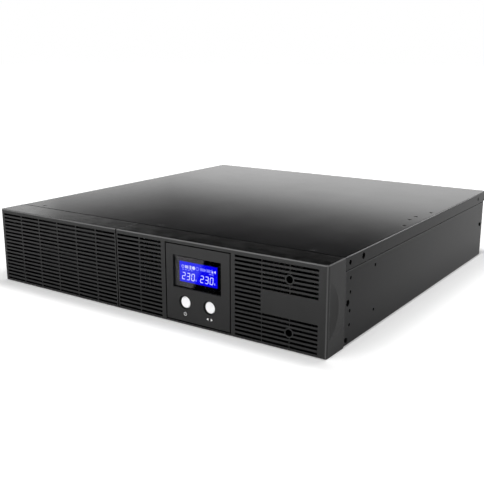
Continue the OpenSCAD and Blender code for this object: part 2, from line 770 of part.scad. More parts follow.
// Slots with the ribs between their columns set back behind the bars
module louvres(x0, x1, rows, columns, rib) {
    along_y(front_y - cut, front_y + rib_set) slot_grid(x0, x1, rows, 1, rib);
    along_y(front_y + rib_set - 0.01, front_y + bezel_t + cut) slot_grid(x0, x1, rows, columns, rib);
}
module scoop(s) intersection() {
    translate([s * (side_x + scoop_r - scoop_depth), front_y - scoop_lead, middle_z])
        sphere(r = scoop_r, $fn = 96);
    box([-side_x - cut, front_y + scoop_set, 0], [side_x + cut, frame_y, case_h]);
    box(
        [s > 0 ? side_x - scoop_depth - cut : -side_x - cut, front_y, 0],
        [s > 0 ? side_x + cut : -side_x + scoop_depth + cut, frame_y, case_h]
    );
}
module pocket_shell(half, y0, y1) box(
    [display_x - half, y0, max(display_z - half, bezel_lift)],
    [display_x + half, y1, min(display_z + half, case_h - 0.5)]
);

module front_bezel() color([0.2, 0.2, 0.21]) difference() {
    union() {
        moulding(bezel_x0, side_x);
        pocket_shell(pocket_s / 2 + pocket_wall, front_y + bezel_t - 0.5, pocket_floor + pocket_wall);
        for (z = access_rows) rod_y(access_x, front_y + rib_set, frame_y, z, access_boss / 2);
    }
    pocket_shell(pocket_s / 2, front_y - cut, pocket_floor);
    rod_y(display_x, pocket_floor - cut, frame_y, display_z, cable_hole_r);
    louvres(bezel_x0 + bar_gap, display_lo[0] - left_grille_gap, all_rows, 2, rib_w);
    difference() {
        union() {
            louvres(grille_x0, grille_x1, open_rows, 3, thin_rib_w);
            louvres(
                grille_x0, grille_x0 + grille_pitch - thin_rib_w,
                [plate_row0:plate_row1 - 1], 1, thin_rib_w
            );
        }
        for (z = access_rows) rod_y(access_x, front_y - cut, frame_y, z, access_boss / 2);
    }
    for (z = access_rows) {
        rod_y(access_x, front_y - cut, frame_y - bezel_t, z, access_dia / 2);
        rod_y(access_x, front_y - cut, frame_y + cut, z, screw_hole_r);
    }
    scoop(1);
}

module battery_door() color([0.2, 0.2, 0.21]) difference() {
    union() {
        moulding(-side_x, door_x1);
        for (p = clip_places)
            rod_y(p[0], front_y + bezel_t - 0.5, tray_front - sheet_t - 2, p[1], clip_r);
    }
    louvres(-side_x + slot_margin, door_x1 - door_strip, all_rows, door_columns, rib_w);
    scoop(-1);
}

// ---- Display module ----

module display_housing() color([0.18, 0.18, 0.19]) difference() {
    union() {
        difference() {
            box(
                [display_lo[0], front_y, display_lo[1]],
                [display_hi[0], front_y + display_d, display_hi[1]]
            );
            box(
                [display_lo[0] + display_t, front_y + display_t, display_lo[1] + display_t],
                [display_hi[0] - display_t, front_y + display_d + cut, display_hi[1] - display_t]
            );
        }
        screen_frame(screen_lip + 0.5, front_y + display_t - 0.5, front_y + screen_set);
        for (s = [-1, 1])
            rod_y(button_x + s * button_pitch / 2, front_y + 1, front_y + collar_l, button_z,
                button_dia / 2 + button_gap + collar_t);
        for (
            x = [display_lo[0] + board_inset, display_hi[0] - board_inset],
            z = [display_lo[1] + board_inset, display_hi[1] - board_inset]
        )
            rod_y(x, front_y + 1, board_front, z, pillar_r);
    }
    screen_frame(0, front_y - cut, front_y + screen_set + cut);
    for (s = [-1, 1])
        rod_y(button_x + s * button_pitch / 2, front_y - cut, front_y + collar_l + cut, button_z,
            button_dia / 2 + button_gap);
}
module screen_frame(extra, y0, y1) box(
    [screen_x - screen_w / 2 - extra, y0, screen_z - screen_h / 2 - extra],
    [screen_x + screen_w / 2 + extra, y1, screen_z + screen_h / 2 + extra]
);
module screen_window() color([0.03, 0.03, 0.04])
    screen_frame(screen_lip, front_y + screen_set, front_y + screen_set + window_t);
module screen_panel() color([0.05, 0.1, 0.95]) {
    y0 = front_y + screen_set + window_t + panel_gap;
    box([lit_x - lit_w / 2, y0, lit_z - lit_h / 2], [lit_x + lit_w / 2, y0 + 2, lit_z + lit_h / 2]);
    box(
        [lit_x - lit_w / 2 - 3, y0 + 2, lit_z - lit_h / 2 - 2],
        [lit_x + lit_w / 2 + 3, board_front, lit_z + lit_h / 2 + 2]
    );
}
module display_board() color([0.1, 0.35, 0.2]) box(
    [display_lo[0] + display_t + slide_gap, board_front, display_lo[1] + display_t + slide_gap],
    [display_hi[0] - display_t - slide_gap, board_front + board_t, display_hi[1] - display_t - slide_gap]
);
module button_switches() color([0.15, 0.15, 0.16]) for (s = [-1, 1]) {
    x = button_x + s * button_pitch / 2;
    half = switch_s / 2;
    box(
        [x - half, board_front - switch_h + 1, button_z - half],
        [x + half, board_front, button_z + half]
    );
    rod_y(x, board_front - switch_h, board_front - switch_h + 1, button_z, switch_tip_r);
}
// A cap with a chamfered face and a slightly dished middle, a flange behind the collar, and a stem
module push_button(x) color([0.92, 0.92, 0.92]) translate([x, front_y, button_z]) rotate([-90, 0, 0]) {
    r = button_dia / 2;
    flange_y = collar_l + sheet_gap;
    rotate_extrude() polygon([
        [0, button_set + 0.3], [r * 0.5, button_set + 0.22], [r - 1, button_set],
        [r - 0.5, button_set + 0.1], [r, button_set + 0.6], [r, flange_y],
        [r + collar_t, flange_y], [r + collar_t, flange_y + flange_t],
        [stem_r, flange_y + flange_t], [stem_r, button_back - front_y], [0, button_back - front_y],
    ]);
}
module power_button() push_button(button_x - button_pitch / 2);
module select_button() push_button(button_x + button_pitch / 2);
module display_cable() color([0.2, 0.2, 0.2]) lead([
    [display_x, board_front + board_t + lead_gap, display_z],
    [display_x, board_front + board_t + 5, display_z],
    [display_x, frame_y - 4, display_z],
    [display_x, frame_y + 8, display_z - 1],
    [display_x, frame_y + 20, display_z - 6],
    [display_x, frame_y + 30, display_z - 4],
    [display_x, cable_end - 10, display_z - 6],
    [display_x, cable_end - 2, board_top + 16],
    [display_x, cable_end, board_top + 8],
    [display_x, cable_end, board_top + lead_gap],
], cable_r);

// ---- Drawer ----

module battery_tray() color([0.2, 0.2, 0.21]) {
    floor_y = frame_y + slide_gap;
    wall_z = tray_z + tray_wall_h;
    lip_y = tray_front - sheet_t / 2;
    difference() {
        union() {
            box([tray_x0, floor_y, tray_z], [tray_x1, tray_back, tray_z + sheet_t]);
            box([tray_x0, floor_y, tray_z], [tray_x1, floor_y + sheet_t, front_plate_z + sheet_t]);
            for (x = [tray_x0, tray_x1 - sheet_t]) {
                box([x, floor_y, tray_z], [x + sheet_t, tray_back, wall_z]);
                box([x, lip_y, front_plate_z], [x + sheet_t, floor_y + cut, wall_z]);
            }
            box([tray_x0, lip_y, front_plate_z], [tray_x1, floor_y + sheet_t, front_plate_z + sheet_t]);
            box([tray_x0, tray_back - sheet_t, tray_z], [tray_x1, tray_back, tray_z + tray_back_h]);
            box(
                [tray_x0, tray_front - sheet_t, front_plate_z],
                [thumb_x + thumb_edge, tray_front, case_h - front_plate_z]
            );
        }
        for (z = thumb_rows)
            rod_y(thumb_x, tray_front - sheet_t - cut, tray_front + cut, z, thumb_hole_r);
    }
}
module battery_outline(inset) rounded(
    battery_x0 + inset, battery_z + inset,
    battery_x0 + battery_l - inset, battery_z + battery_w - inset, battery_r
);
// A closed case with a groove under its lid
module battery(i) {
    y = battery_y0 + i * battery_pitch;
    lid_y = y + battery_h - case_joint[0];
    color([0.13, 0.13, 0.14]) difference() {
        along_y(y, y + battery_h) battery_outline(0);
        difference() {
            box(
                [battery_x0 - cut, lid_y - case_joint[1], battery_z - cut],
                [battery_x0 + battery_l + cut, lid_y, battery_z + battery_w + cut]
            );
            along_y(y, y + battery_h) battery_outline(case_joint[2]);
        }
    }
}
module battery_front() battery(0);
module battery_middle() battery(1);
module battery_rear() battery(2);
module battery_terminals() color([0.8, 0.78, 0.7])
    for (i = [0:battery_count - 1], x = [terminal_set, battery_l - terminal_set]) {
        y = battery_y0 + i * battery_pitch + battery_h;
        cx = battery_x0 + x;
        cz = battery_z + battery_w - terminal_set;
        difference() {
            box(
                [cx - terminal_w / 2, y, cz - terminal_t / 2],
                [cx + terminal_w / 2, y + terminal_h, cz + terminal_t / 2]
            );
            rod_z(cx, y + terminal_h * 0.6, cz - cut, cz + cut, terminal_hole_r);
        }
    }
module battery_leads() color([0.7, 0.08, 0.06]) {
    tab_z = battery_z + battery_w - terminal_set + terminal_t / 2 + lead_gap;
    top = battery_z + battery_w + 5;
    x0 = battery_x0 + terminal_set;
    x1 = battery_x0 + battery_l - terminal_set;
    for (i = [0:battery_count - 2]) {
        y0 = battery_y0 + i * battery_pitch + battery_h + terminal_h / 2;
        y1 = y0 + battery_pitch;
        lead([
            [x1, y0, tab_z], [x1, y0, tab_z + 7], [x1 - 1, y0 + 1, top - 3], [x1 - 8, y0 + 8, top],
            [x1 - 20, y0 + 20, top], [x0 + 20, y1 - 20, top], [x0 + 8, y1 - 8, top],
            [x0 + 1, y1 - 1, top - 3], [x0, y1, tab_z + 7], [x0, y1, tab_z],
        ], battery_lead_r);
    }
}
module battery_clamp() color([0.55, 0.55, 0.55]) {
    x = battery_x0 + battery_l - strap_set;
    z = battery_z + battery_w;
    box([x - strap_w, tray_front, z], [x, tray_back - sheet_t, z + 1]);
}
// A block round the plug that stands out by rim on every side
module plug_block(rim, y0, y1) box(
    [plug_x - plug_w / 2 - rim, y0, plug_z - plug_h / 2 - rim],
    [plug_x + plug_w / 2 + rim, y1, plug_z + plug_h / 2 + rim]
);
module battery_plug() color([0.75, 0.1, 0.08]) {
    plug_block(0, tray_back, bay_back - 1);
    for (s = [-1, 1])
        rod_y(plug_x + s * plug_w / 4, bay_back - 1.5, bay_back + plug_nose, plug_z, plug_pin_r);
}
module battery_socket() color([0.75, 0.1, 0.08]) difference() {
    union() {
        plug_block(socket_rim, bay_back + sheet_t, socket_back);
        plug_block(1, bay_back, bay_back + sheet_t + 1);
    }
    for (s = [-1, 1])
        rod_y(
            plug_x + s * plug_w / 4, bay_back - cut,
            bay_back + plug_nose + 1, plug_z, plug_pin_r + slide_gap
        );
}
module tray_handle() color([0.08, 0.08, 0.08]) {
    x = (tray_x0 + tray_x1) / 2;
    y1 = tray_front - sheet_t;
    half = handle_w / 2;
    along_z(middle_z - handle_h / 2, middle_z + handle_h / 2) difference() {
        rounded(x - half, y1 - handle_reach, x + half, y1, 4);
        rounded(x - half + handle_leg, y1 - handle_reach + handle_bar, x + half - handle_leg, y1 + 8, 3);
        translate([x - half - cut, y1]) square([handle_w + 2 * cut, 10]);
    }
    for (s = [-1, 1]) translate([x + s * (half + 2), y1 - handle_foot[1], middle_z - handle_h / 2])
        box([-handle_foot[0] / 2, 0, 0], [handle_foot[0] / 2, handle_foot[1], handle_h]);
}
// Slotted screws with knurled heads that hold the drawer shut
module thumb_screws() color([0.3, 0.3, 0.31]) for (z = thumb_rows) {
    y = tray_front - sheet_t;
    r = thumb_dia / 2;
    difference() {
        rod_y(thumb_x, y - thumb_l, y, z, r);
        for (a = [0:30:330]) translate([thumb_x, y + cut, z]) rotate([90, a, 0])
            translate([r + knurl_r / 2, 0, 0]) cylinder(h = thumb_l + 2 * cut, r = knurl_r, $fn = 16);
        box(
            [thumb_x - r - cut, y - thumb_l - cut, z - 0.6],
            [thumb_x + r + cut, y - thumb_l + 1.4, z + 0.6]
        );
    }
    rod_y(thumb_x, y, frame_y + 5, z, thumb_shank_r);
}
module door_clips() color([0.3, 0.3, 0.31])
    for (p = clip_places) translate([p[0], tray_front - sheet_t, p[1]]) {
        half = clip_r + slide_gap;
        box([-clip_w / 2, -clip_t, -half - 2 * clip_t], [clip_w / 2, 0, half + 2 * clip_t]);
        for (z = [-half - clip_t, half]) box([-clip_w / 2, -clip_l, z], [clip_w / 2, 0, z + clip_t]);
    }

// ---- Screws and nuts ----

module bezel_screws() color([0.12, 0.12, 0.12]) for (z = access_rows)
    translate([access_x, frame_y - bezel_t, z]) rotate([90, 0, 0])
        pan_screw(screw_r, bezel_screw_head[0], bezel_screw_head[1], bezel_t + sheet_t + 4);
module cover_screws() color([0.12, 0.12, 0.12]) {
    for (x = lid_screws_x)
        translate([x, lid_screw_front, case_h]) flat_screw(screw_r, flat_head_r, flat_screw_l);
    for (s = [-1, 1]) translate([s * side_x, lid_screw_back, case_h - flange_h / 2])
        rotate([0, s * 90, 0]) flat_screw(screw_r, flat_head_side_r, flat_screw_l);
}
module panel_screws() color([0.12, 0.12, 0.12]) {
    for (s = [-1, 1], p = side_screws)
        translate([s * pan_x, p[0], p[1]]) rotate([0, s * 90, 0])
            pan_screw(screw_r, flat_head_side_r, sheet_t, side_screw_l);
    for (x = [option_x0 - option_tab / 2, option_x1 + option_tab / 2])
        translate([x, panel_out + sheet_t, option_z]) rotate([-90, 0, 0]) pan_screw(screw_r, 3, 1.6, 6);
}
module ear_nuts() color([0.12, 0.12, 0.12]) for (s = [-1, 1]) rack_holes() difference() {
    rod_x(s > 0 ? pan_in - ear_nut_l : -pan_in, s > 0 ? pan_in : -pan_in + ear_nut_l, 0, 0, ear_nut_r);
    rod_x(s * pan_in - 2 * ear_nut_l, s * pan_in + 2 * ear_nut_l, 0, 0, ear_hole_dia / 2);
}

// ---- Fan ----

module fan_at() translate([fan_x, panel_in, middle_z]) rotate([90, 0, 0]) children();
module fan_corners() for (x = [-1, 1], y = [-1, 1]) translate([x, y, 0] * fan_pitch / 2) children();
module fan_frame() color([0.08, 0.08, 0.08]) fan_at() {
    difference() {
        along_z(0, fan_d) rounded(-fan_s / 2, -fan_s / 2, fan_s / 2, fan_s / 2, 4);
        translate([0, 0, -cut]) cylinder(h = fan_d + 2 * cut, r = fan_bore_r);
        fan_corners() translate([0, 0, -cut]) cylinder(h = fan_d + 2 * cut, r = fan_hole_r);
        difference() {
            along_z(fan_plate, fan_d - fan_plate) square(fan_s + 2, center = true);
            translate([0, 0, fan_plate - cut]) cylinder(h = fan_d, r = fan_s / 2 + 0.4);
            for (a = [0:90:270]) rotate([0, 0, a + 45]) translate([fan_s / 2 + 9, 0, 0])
                along_z(fan_plate - cut, fan_d) square([24, fan_spoke], center = true);
        }
    }
    difference() {
        union() {
            cylinder(h = fan_spoke, r = hub_r);
            cylinder(h = fan_d - 5, r = bearing_r);
            for (a = [45:90:315]) rotate([0, 0, a]) translate([hub_r - 1, -fan_spoke / 2, 0])
                cube([fan_s / 2 - hub_r, fan_spoke, fan_spoke]);
        }
        translate([0, 0, 1]) cylinder(h = fan_d, r = shaft_dia / 2 + shaft_gap);
    }
}
module fan_rotor() color([0.1, 0.1, 0.1]) fan_at() {
    difference() {
        translate([0, 0, fan_plate]) cylinder(h = fan_d - 6, r = hub_r);
        translate([0, 0, fan_plate - cut]) cylinder(h = fan_d - 5 - hub_wall, r = hub_r - hub_wall);
    }
    translate([0, 0, 2]) cylinder(h = fan_d - 4, r = shaft_dia / 2);
    intersection() {
        difference() {
            translate([0, 0, fan_plate]) cylinder(h = fan_d - 7, r = fan_s / 2 - blade_gap);
            translate([0, 0, fan_plate - cut]) cylinder(h = fan_d, r = hub_r - 0.4);
        }
        for (i = [0:blade_count - 1]) rotate([0, 0, i * blade_turn]) rotate([0, 90, 0])
            translate([-fan_d / 2 + 6, blade_bend - 4, 0]) difference() {
                cylinder(h = fan_s / 2, r = blade_bend);
                translate([0, 0, -cut]) cylinder(h = fan_s, r = blade_bend - blade_t);
                translate([-2 * blade_bend, -4, -cut]) cube([4 * blade_bend, 2 * blade_bend, fan_s]);
            }
    }
}
module fan_guard() color([0.7, 0.7, 0.72]) translate([fan_x, panel_out, middle_z]) rotate([-90, 0, 0]) {
    for (i = [0:3]) rotate_extrude() translate([guard_first + i * guard_pitch, guard_r + 1])
        circle(r = guard_r, $fn = 16);
    half_bar = fan_pitch / sqrt(2) - guard_bar_end;
    for (a = [45, 135]) rotate([0, 0, a]) translate([-half_bar, 0, guard_bar_r]) rotate([0, 90, 0])
        cylinder(h = 2 * half_bar, r = guard_bar_r, $fn = 16);
    fan_corners() difference() {
        cylinder(h = guard_tab_t, r = guard_tab_r);
        translate([0, 0, -cut]) cylinder(h = guard_tab_t + 2 * cut, r = fan_hole_r);
    }
}
module fan_screws() color([0.6, 0.6, 0.6])
    translate([fan_x, panel_out + guard_tab_t, middle_z]) rotate([-90, 0, 0])
        fan_corners() pan_screw(fan_screw[0], fan_screw[1], fan_screw[2], fan_screw[3]);

// ---- Rear sockets ----

// Places what follows at the middle of a socket, drawn across the panel
module at_socket(column, row)
    translate([outlet_x - column * outlet_pitch, socket_z + row * socket_rows]) children();
module socket_outline(column, row, extra) at_socket(column, row)
    square([outlet_body[0] + 2 * extra, outlet_body[1] + 2 * extra], center = true);
module keyed_outline(key) {
    w = key[0] / 2;
    h = key[1] / 2;
    c = key[2];
    polygon([[-w, -h], [w, -h], [w, h - c], [w - c, h], [-w + c, h], [-w, h - c]]);
}
module contacts(size) for (x = [-1, 0, 1])
    translate([x * contact_pitch / 2, x == 0 ? earth_rise / 2 : -earth_rise / 2])
        square(size, center = true);
module socket_blank(column, row) {
    along_y(panel_out, panel_out + face_t) at_socket(column, row) translate(-outlet_face / 2)
        rounded(0, 0, outlet_face[0], outlet_face[1], outlet_corner);
    along_y(panel_out - outlet_depth, panel_out + 0.1) socket_outline(column, row, 0);
}
module ac_inlet() color([0.06, 0.06, 0.06]) difference() {
    socket_blank(-1, 1);
    along_y(panel_out + face_t - inlet_bore, panel_out + face_t + cut) at_socket(-1, 1)
        keyed_outline(inlet_key);
    along_y(panel_out - outlet_depth - cut, panel_out) at_socket(-1, 1) contacts(pin + [0.2, 0.2]);
}
module inlet_pins() color([0.8, 0.8, 0.82])
    along_y(panel_out - outlet_depth - pin_tail, panel_out + face_t - pin_back)
        at_socket(-1, 1) contacts(pin);
module ac_outlet(column, row) difference() {
    socket_blank(column, row);
    along_y(panel_out + face_t - outlet_bore, panel_out + face_t + cut) at_socket(column, row)
        difference() {
            keyed_outline(outlet_ring);
            keyed_outline(outlet_core);
        }
    along_y(panel_out - contact_bore, panel_out + face_t + cut) at_socket(column, row)
        contacts(pin + [0.4, 0.6]);
}
module ac_outlets() color([0.06, 0.06, 0.06])
    for (column = [0:outlet_columns - 1], row = [0, 1]) ac_outlet(column, row);
module breaker_body() color([0.06, 0.06, 0.06]) difference() {
    union() {
        rod_y(inlet_x, panel_out - breaker_neck, panel_out + 0.1, socket_z, breaker_r);
        rod_y(inlet_x, panel_out, panel_out + breaker_rim, socket_z, breaker_rim_r);
        translate([inlet_x - breaker_box[0] / 2, panel_out - breaker_neck + 2 - breaker_box[1], socket_z])
            box([0, 0, -breaker_box[2] / 2], [breaker_box[0], breaker_box[1], breaker_box[2] / 2]);
    }
    rod_y(
        inlet_x, panel_out - breaker_neck,
        panel_out + breaker_rim + cut, socket_z, breaker_stem_r + breaker_gap
    );
    rod_y(
        inlet_x, panel_out - breaker_neck,
        panel_out - breaker_neck + breaker_travel + 3, socket_z, breaker_flange_r + breaker_gap
    );
}
module breaker_button() color([0.75, 0.1, 0.08]) {
    y = panel_out - breaker_neck + breaker_gap;
    rod_y(inlet_x, y, panel_out + breaker_rim - 0.1, socket_z, breaker_stem_r);
    rod_y(inlet_x, y, y + 1.5, socket_z, breaker_flange_r);
}
module port_shell(x, size) difference() {
    box(
        [x - size[0] / 2, panel_out - size[2], comm_z],
        [x + size[0] / 2, panel_out + port_proud, comm_z + size[1]]
    );
    along_y(panel_out - size[2] + 3, panel_out + cut) children();
}
module usb_port() color([0.8, 0.8, 0.82]) port_shell(usb_x, usb_size) difference() {
    translate([usb_x, comm_z + usb_size[1] / 2]) keyed_outline([8.6, 7.8, 1.8]);
    translate([usb_x, comm_z + usb_size[1] / 2]) square([5.6, 3.2], center = true);
}
module serial_port() color([0.75, 0.75, 0.77]) {
    z = comm_z + serial_size[1] / 2;
    difference() {
        box(
            [serial_x - serial_size[0] / 2, panel_out - serial_size[2], comm_z],
            [serial_x + serial_size[0] / 2, panel_out + port_proud, comm_z + serial_size[1]]
        );
        for (s = [-1, 1]) rod_y(serial_x + s * 12.5, panel_out - 6, panel_out + cut, z, 1.5);
    }
    difference() {
        along_y(panel_out + 0.3, panel_out + 5) translate([serial_x, z])
            polygon([[-8.3, 4.2], [8.3, 4.2], [6.9, -4.2], [-6.9, -4.2]]);
        for (i = [0:4]) rod_y(serial_x + (i - 2) * 2.76, panel_out + 1, panel_out + 6, z + 1.4, 0.55);
        for (i = [0:3]) rod_y(serial_x + (i - 1.5) * 2.76, panel_out + 1, panel_out + 6, z - 1.4, 0.55);
    }
}
module network_jacks() color([0.1, 0.1, 0.1]) port_shell(jacks_x, jacks_size)
    for (s = [-1, 1]) translate([jacks_x + s * 8, comm_z + 6.6]) {
        square([11.8, 7.2], center = true);
        translate([-3, -5.4]) square([6, 4]);
    }
module option_cover() color([0.2, 0.2, 0.21]) difference() {
    box(
        [option_x0 - option_tab, panel_out, option_z - option_h / 2 - 1.5],
        [option_x1 + option_tab, panel_out + sheet_t, option_z + option_h / 2 + 1.5]
    );
    for (x = [option_x0 - option_tab / 2, option_x1 + option_tab / 2])
        rod_y(x, panel_in, panel_out + sheet_t + cut, option_z, option_hole_r);
}

// ---- Boards and power parts ----

module comm_board() color([0.1, 0.35, 0.2])
    box(
        [-pan_in + board_wall_gap, comm_y0, board_z],
        [partition_x - board_wall_gap, comm_y0 + comm_l, board_top]
    );
module main_board() color([0.1, 0.35, 0.2]) along_z(board_z, board_top) polygon([
    [board_x0, board_y0], [board_x1, board_y0], [board_x1, board_y1], [board_step_x, board_y1],
    [board_step_x, board_step_y], [board_x0, board_step_y],
]);
module board_spacers() color([0.8, 0.75, 0.5]) {
    edge = 6;
    places = [
        [board_x0 + edge, board_y0 + edge], [board_x1 - edge, board_y0 + edge],
        [board_x1 - edge, board_y1 - edge], [board_step_x + edge, board_y1 - edge],
        [board_x0 + edge, board_step_y - edge], [core_x, board_step_y - edge],
        [board_step_x + edge, board_y0 + edge], [board_step_x + edge, board_step_y - 20],
        [-pan_in + 2 * edge, comm_y0 + edge], [partition_x - 2 * edge, comm_y0 + edge],
        [-pan_in + 2 * edge, panel_in - 8], [partition_x - 2 * edge, panel_in - 8],
    ];
    for (p = places) rod_z(p[0], p[1], sheet_t, board_z, spacer_r);
}
module sink_profile() {
    fin_pitch = (heatsink_h - fin_t - 2 * fin_margin) / (fin_count - 1);
    translate([0, board_top]) square([sink_base, heatsink_h]);
    for (i = [0:fin_count - 1]) translate([sink_base - fin_root, board_top + fin_margin + i * fin_pitch])
        square([sink_fin + fin_root, fin_t]);
}
module heatsinks() color([0.75, 0.76, 0.78]) along_y(sink_y0, sink_y0 + heatsink_l) {
    translate([sink_left, 0]) sink_profile();
    translate([sink_right, 0]) mirror([1, 0]) sink_profile();
}
module power_transistors() color([0.07, 0.07, 0.07]) for (i = [0:transistor_count - 1]) {
    y = sink_y0 + transistor_set + i * (heatsink_l - 2 * transistor_set) / (transistor_count - 1);
    z = board_top + transistor_z;
    for (x = [sink_left - transistor[0], sink_right]) {
        translate([x, y - transistor[1] / 2, z]) cube(transistor);
        for (l = [-leg_pitch, 0, leg_pitch])
            box([x + 2, y + l - 0.6, board_top], [x + 2.8, y + l + 0.6, z + 0.5]);
    }
}
// Cans with a rolled groove near the foot and a scored top
module bulk_capacitors() color([0.12, 0.14, 0.3])
    for (x = [0, capacitor_pitch], y = [0, capacitor_pitch])
        translate([capacitor_x - x, capacitor_y + y, board_top]) difference() {
            r = capacitor_dia / 2;
            cylinder(h = capacitor_h, r = r);
            for (a = [0, 60, 120]) rotate([0, 0, a]) translate([-r * 0.56, -0.4, capacitor_h - 0.5])
                cube([r * 1.12, 0.8, 2]);
            rotate_extrude() translate([r, 0.3 * r]) circle(r = coil_groove_r, $fn = 16);
        }
module relays() color([0.15, 0.3, 0.55]) for (i = [0:relay_count - 1])
    along_z(board_top, board_top + relay[2])
        translate([board_x0 + relay_set[0], board_step_y - relay_set[1] - i * relay_pitch])
            rounded(0, 0, relay[0], relay[1], 1);
module input_choke() color([0.75, 0.4, 0.15]) translate([choke_x, choke_y, board_top]) difference() {
    cylinder(h = choke_h, r = choke_dia / 2);
    translate([0, 0, -cut]) cylinder(h = choke_h + 2 * cut, r = choke_hole / 2);
    for (a = [0:12:348]) rotate([0, 0, a]) translate([choke_dia / 2 + coil_groove_r / 2, 0, -cut])
        cylinder(h = choke_h + 2 * cut, r = coil_groove_r, $fn = 16);
}
module blade_fuses() color([0.9, 0.5, 0.1]) for (i = [0:2])
    translate([board_x0 + fuse_set + i * fuse_pitch, board_y0 + fuse_set, board_top]) {
        box([-fuse[0] / 2, -fuse[1] / 2, 0], [fuse[0] / 2, fuse[1] / 2, fuse[2]]);
        box([-fuse[0] / 3, -fuse[1] / 2, fuse[2] - 0.1], [fuse[0] / 3, fuse[1] / 2, fuse[2] + 6]);
    }

module transformer_core() color([0.35, 0.35, 0.37]) translate([core_x, core_y, core_z]) difference() {
    box([-core_w / 2, -core_stack / 2, 0], [core_w / 2, core_stack / 2, core_h]);
    for (s = [-1, 1]) translate([s * 1.5 * leg_w, 0, 0])
        box(
            [-leg_w / 2, -core_stack / 2 - cut, leg_w],
            [leg_w / 2, core_stack / 2 + cut, core_h - leg_w]
        );
}
module transformer_coil() color([0.55, 0.3, 0.12]) {
    half_x = 2 * leg_w - coil_gap;
    half_y = core_stack / 2 + coil_bulge;
    along_z(core_z + leg_w + coil_gap, core_z + core_h - leg_w - coil_gap) difference() {
        translate([core_x, core_y]) rounded(-half_x, -half_y, half_x, half_y, coil_r);
        translate([core_x, core_y])
            square([2 * leg_w + 2 * coil_gap, core_stack + 2 * coil_gap], center = true);
    }
}
module bracket_corners(z) for (s = [-1, 1], y = [-bracket_holes / 2, bracket_holes / 2])
    translate([core_x + s * (core_w / 2 + foot_l / 2 + 1), core_y + y, z]) children();
// A strap folded over the core, with two feet on the floor
module transformer_bracket() color([0.7, 0.7, 0.72]) difference() {
    union() {
        half = core_w / 2;
        along_y(core_y - bracket_w / 2, core_y + bracket_w / 2) translate([core_x, 0]) {
            for (x = [-half - sheet_t, half])
                translate([x, sheet_t]) square([sheet_t, core_h + 2 * sheet_t]);
            translate([-half - sheet_t, core_z + core_h]) square([core_w + 2 * sheet_t, sheet_t]);
        }
        box(
            [core_x - half - foot_l, core_y - bracket_w / 2, sheet_t],
            [core_x + half + foot_l, core_y + bracket_w / 2, core_z]
        );
    }
    bracket_corners(0) cylinder(h = 10, r = bracket_screw_r + 0.2);
}
module transformer_screws() color([0.7, 0.7, 0.72]) bracket_corners(2 * sheet_t)
    pan_screw(bracket_screw_r, 3.4, 2.2, sheet_t);

// ---- Wiring held inside ----

module dc_leads() color([0.1, 0.1, 0.1]) for (i = [0, 1]) {
    x = plug_x + (i == 0 ? 1 : -1) * plug_w / 4;
    y = socket_back;
    turn = y + 14 + 8 * i;
    lane = partition_x + 11 + 7.5 * i;
    lead([
        [x, y + lead_gap, plug_z], [x, y + 4, plug_z], [x, y + 7, plug_z], [x + 5, turn - 2, plug_z + 2],
        [x + 18, turn, plug_z + 5], [x + 40, turn, lead_lane_z], [partition_x - 16, turn, lead_lane_z],
        [partition_x - 2 + 4 * i, turn - 1 - i, lead_lane_z], [lane - 1, turn - 9 - 2 * i, lead_lane_z],
        [lane, turn - 24, lead_lane_z], [lane, board_step_y + 26, lead_lane_z],
        [lane, board_step_y + 10, lead_lane_z - 2], [lane, board_step_y - 1, lead_lane_z - 10],
        [lane, board_step_y - 3.5, board_top + 7], [lane, board_step_y - 3.5, board_top + lead_gap],
    ], power_lead_r);
}
module ac_leads() color([0.45, 0.25, 0.1]) for (x = [-1, 0, 1]) {
    px = inlet_x + x * contact_pitch / 2;
    pz = socket_z + socket_rows + (x == 0 ? 1 : -1) * earth_rise / 2;
    y = panel_out - outlet_depth - pin_tail;
    drop_y = board_y1 - 6;
    lead([
        [px, y - lead_gap, pz], [px, y - 7, pz], [px, y - 18, pz - 6],
        [px, drop_y + 8, pz - 24], [px, drop_y, board_top + 14], [px, drop_y, board_top + lead_gap],
    ], mains_lead_r);
}

chassis_pan();
rear_panel();
top_cover();
front_frame();
bay_partition();
front_bezel();
bezel_screws();
cover_screws();
panel_screws();
ear_nuts();
fan_frame();
fan_guard();
fan_screws();
fan_rotor();
ac_inlet();
inlet_pins();
ac_outlets();
breaker_body();
breaker_button();
usb_port();
serial_port();
network_jacks();
option_cover();
comm_board();
main_board();
board_spacers();
heatsinks();
power_transistors();
bulk_capacitors();
relays();
input_choke();
blade_fuses();
transformer_core();
transformer_coil();
transformer_bracket();
transformer_screws();
battery_socket();
dc_leads();
ac_leads();
display_cable();
battery_tray();
battery_front();
battery_middle();
battery_rear();
battery_terminals();
battery_leads();
battery_plug();
battery_clamp();
tray_handle();
thumb_screws();
battery_door();
door_clips();
display_housing();
screen_window();
screen_panel();
display_board();
button_switches();
power_button();
select_button();
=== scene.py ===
"""Finishes, lights and camera for a rack-mounted uninterruptible power supply.

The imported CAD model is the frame: every size here comes from its nodes' boxes or is a named value.
All lengths are in metres, +X to the right seen from the front, +Y to the back and +Z up.
"""

import json
import math

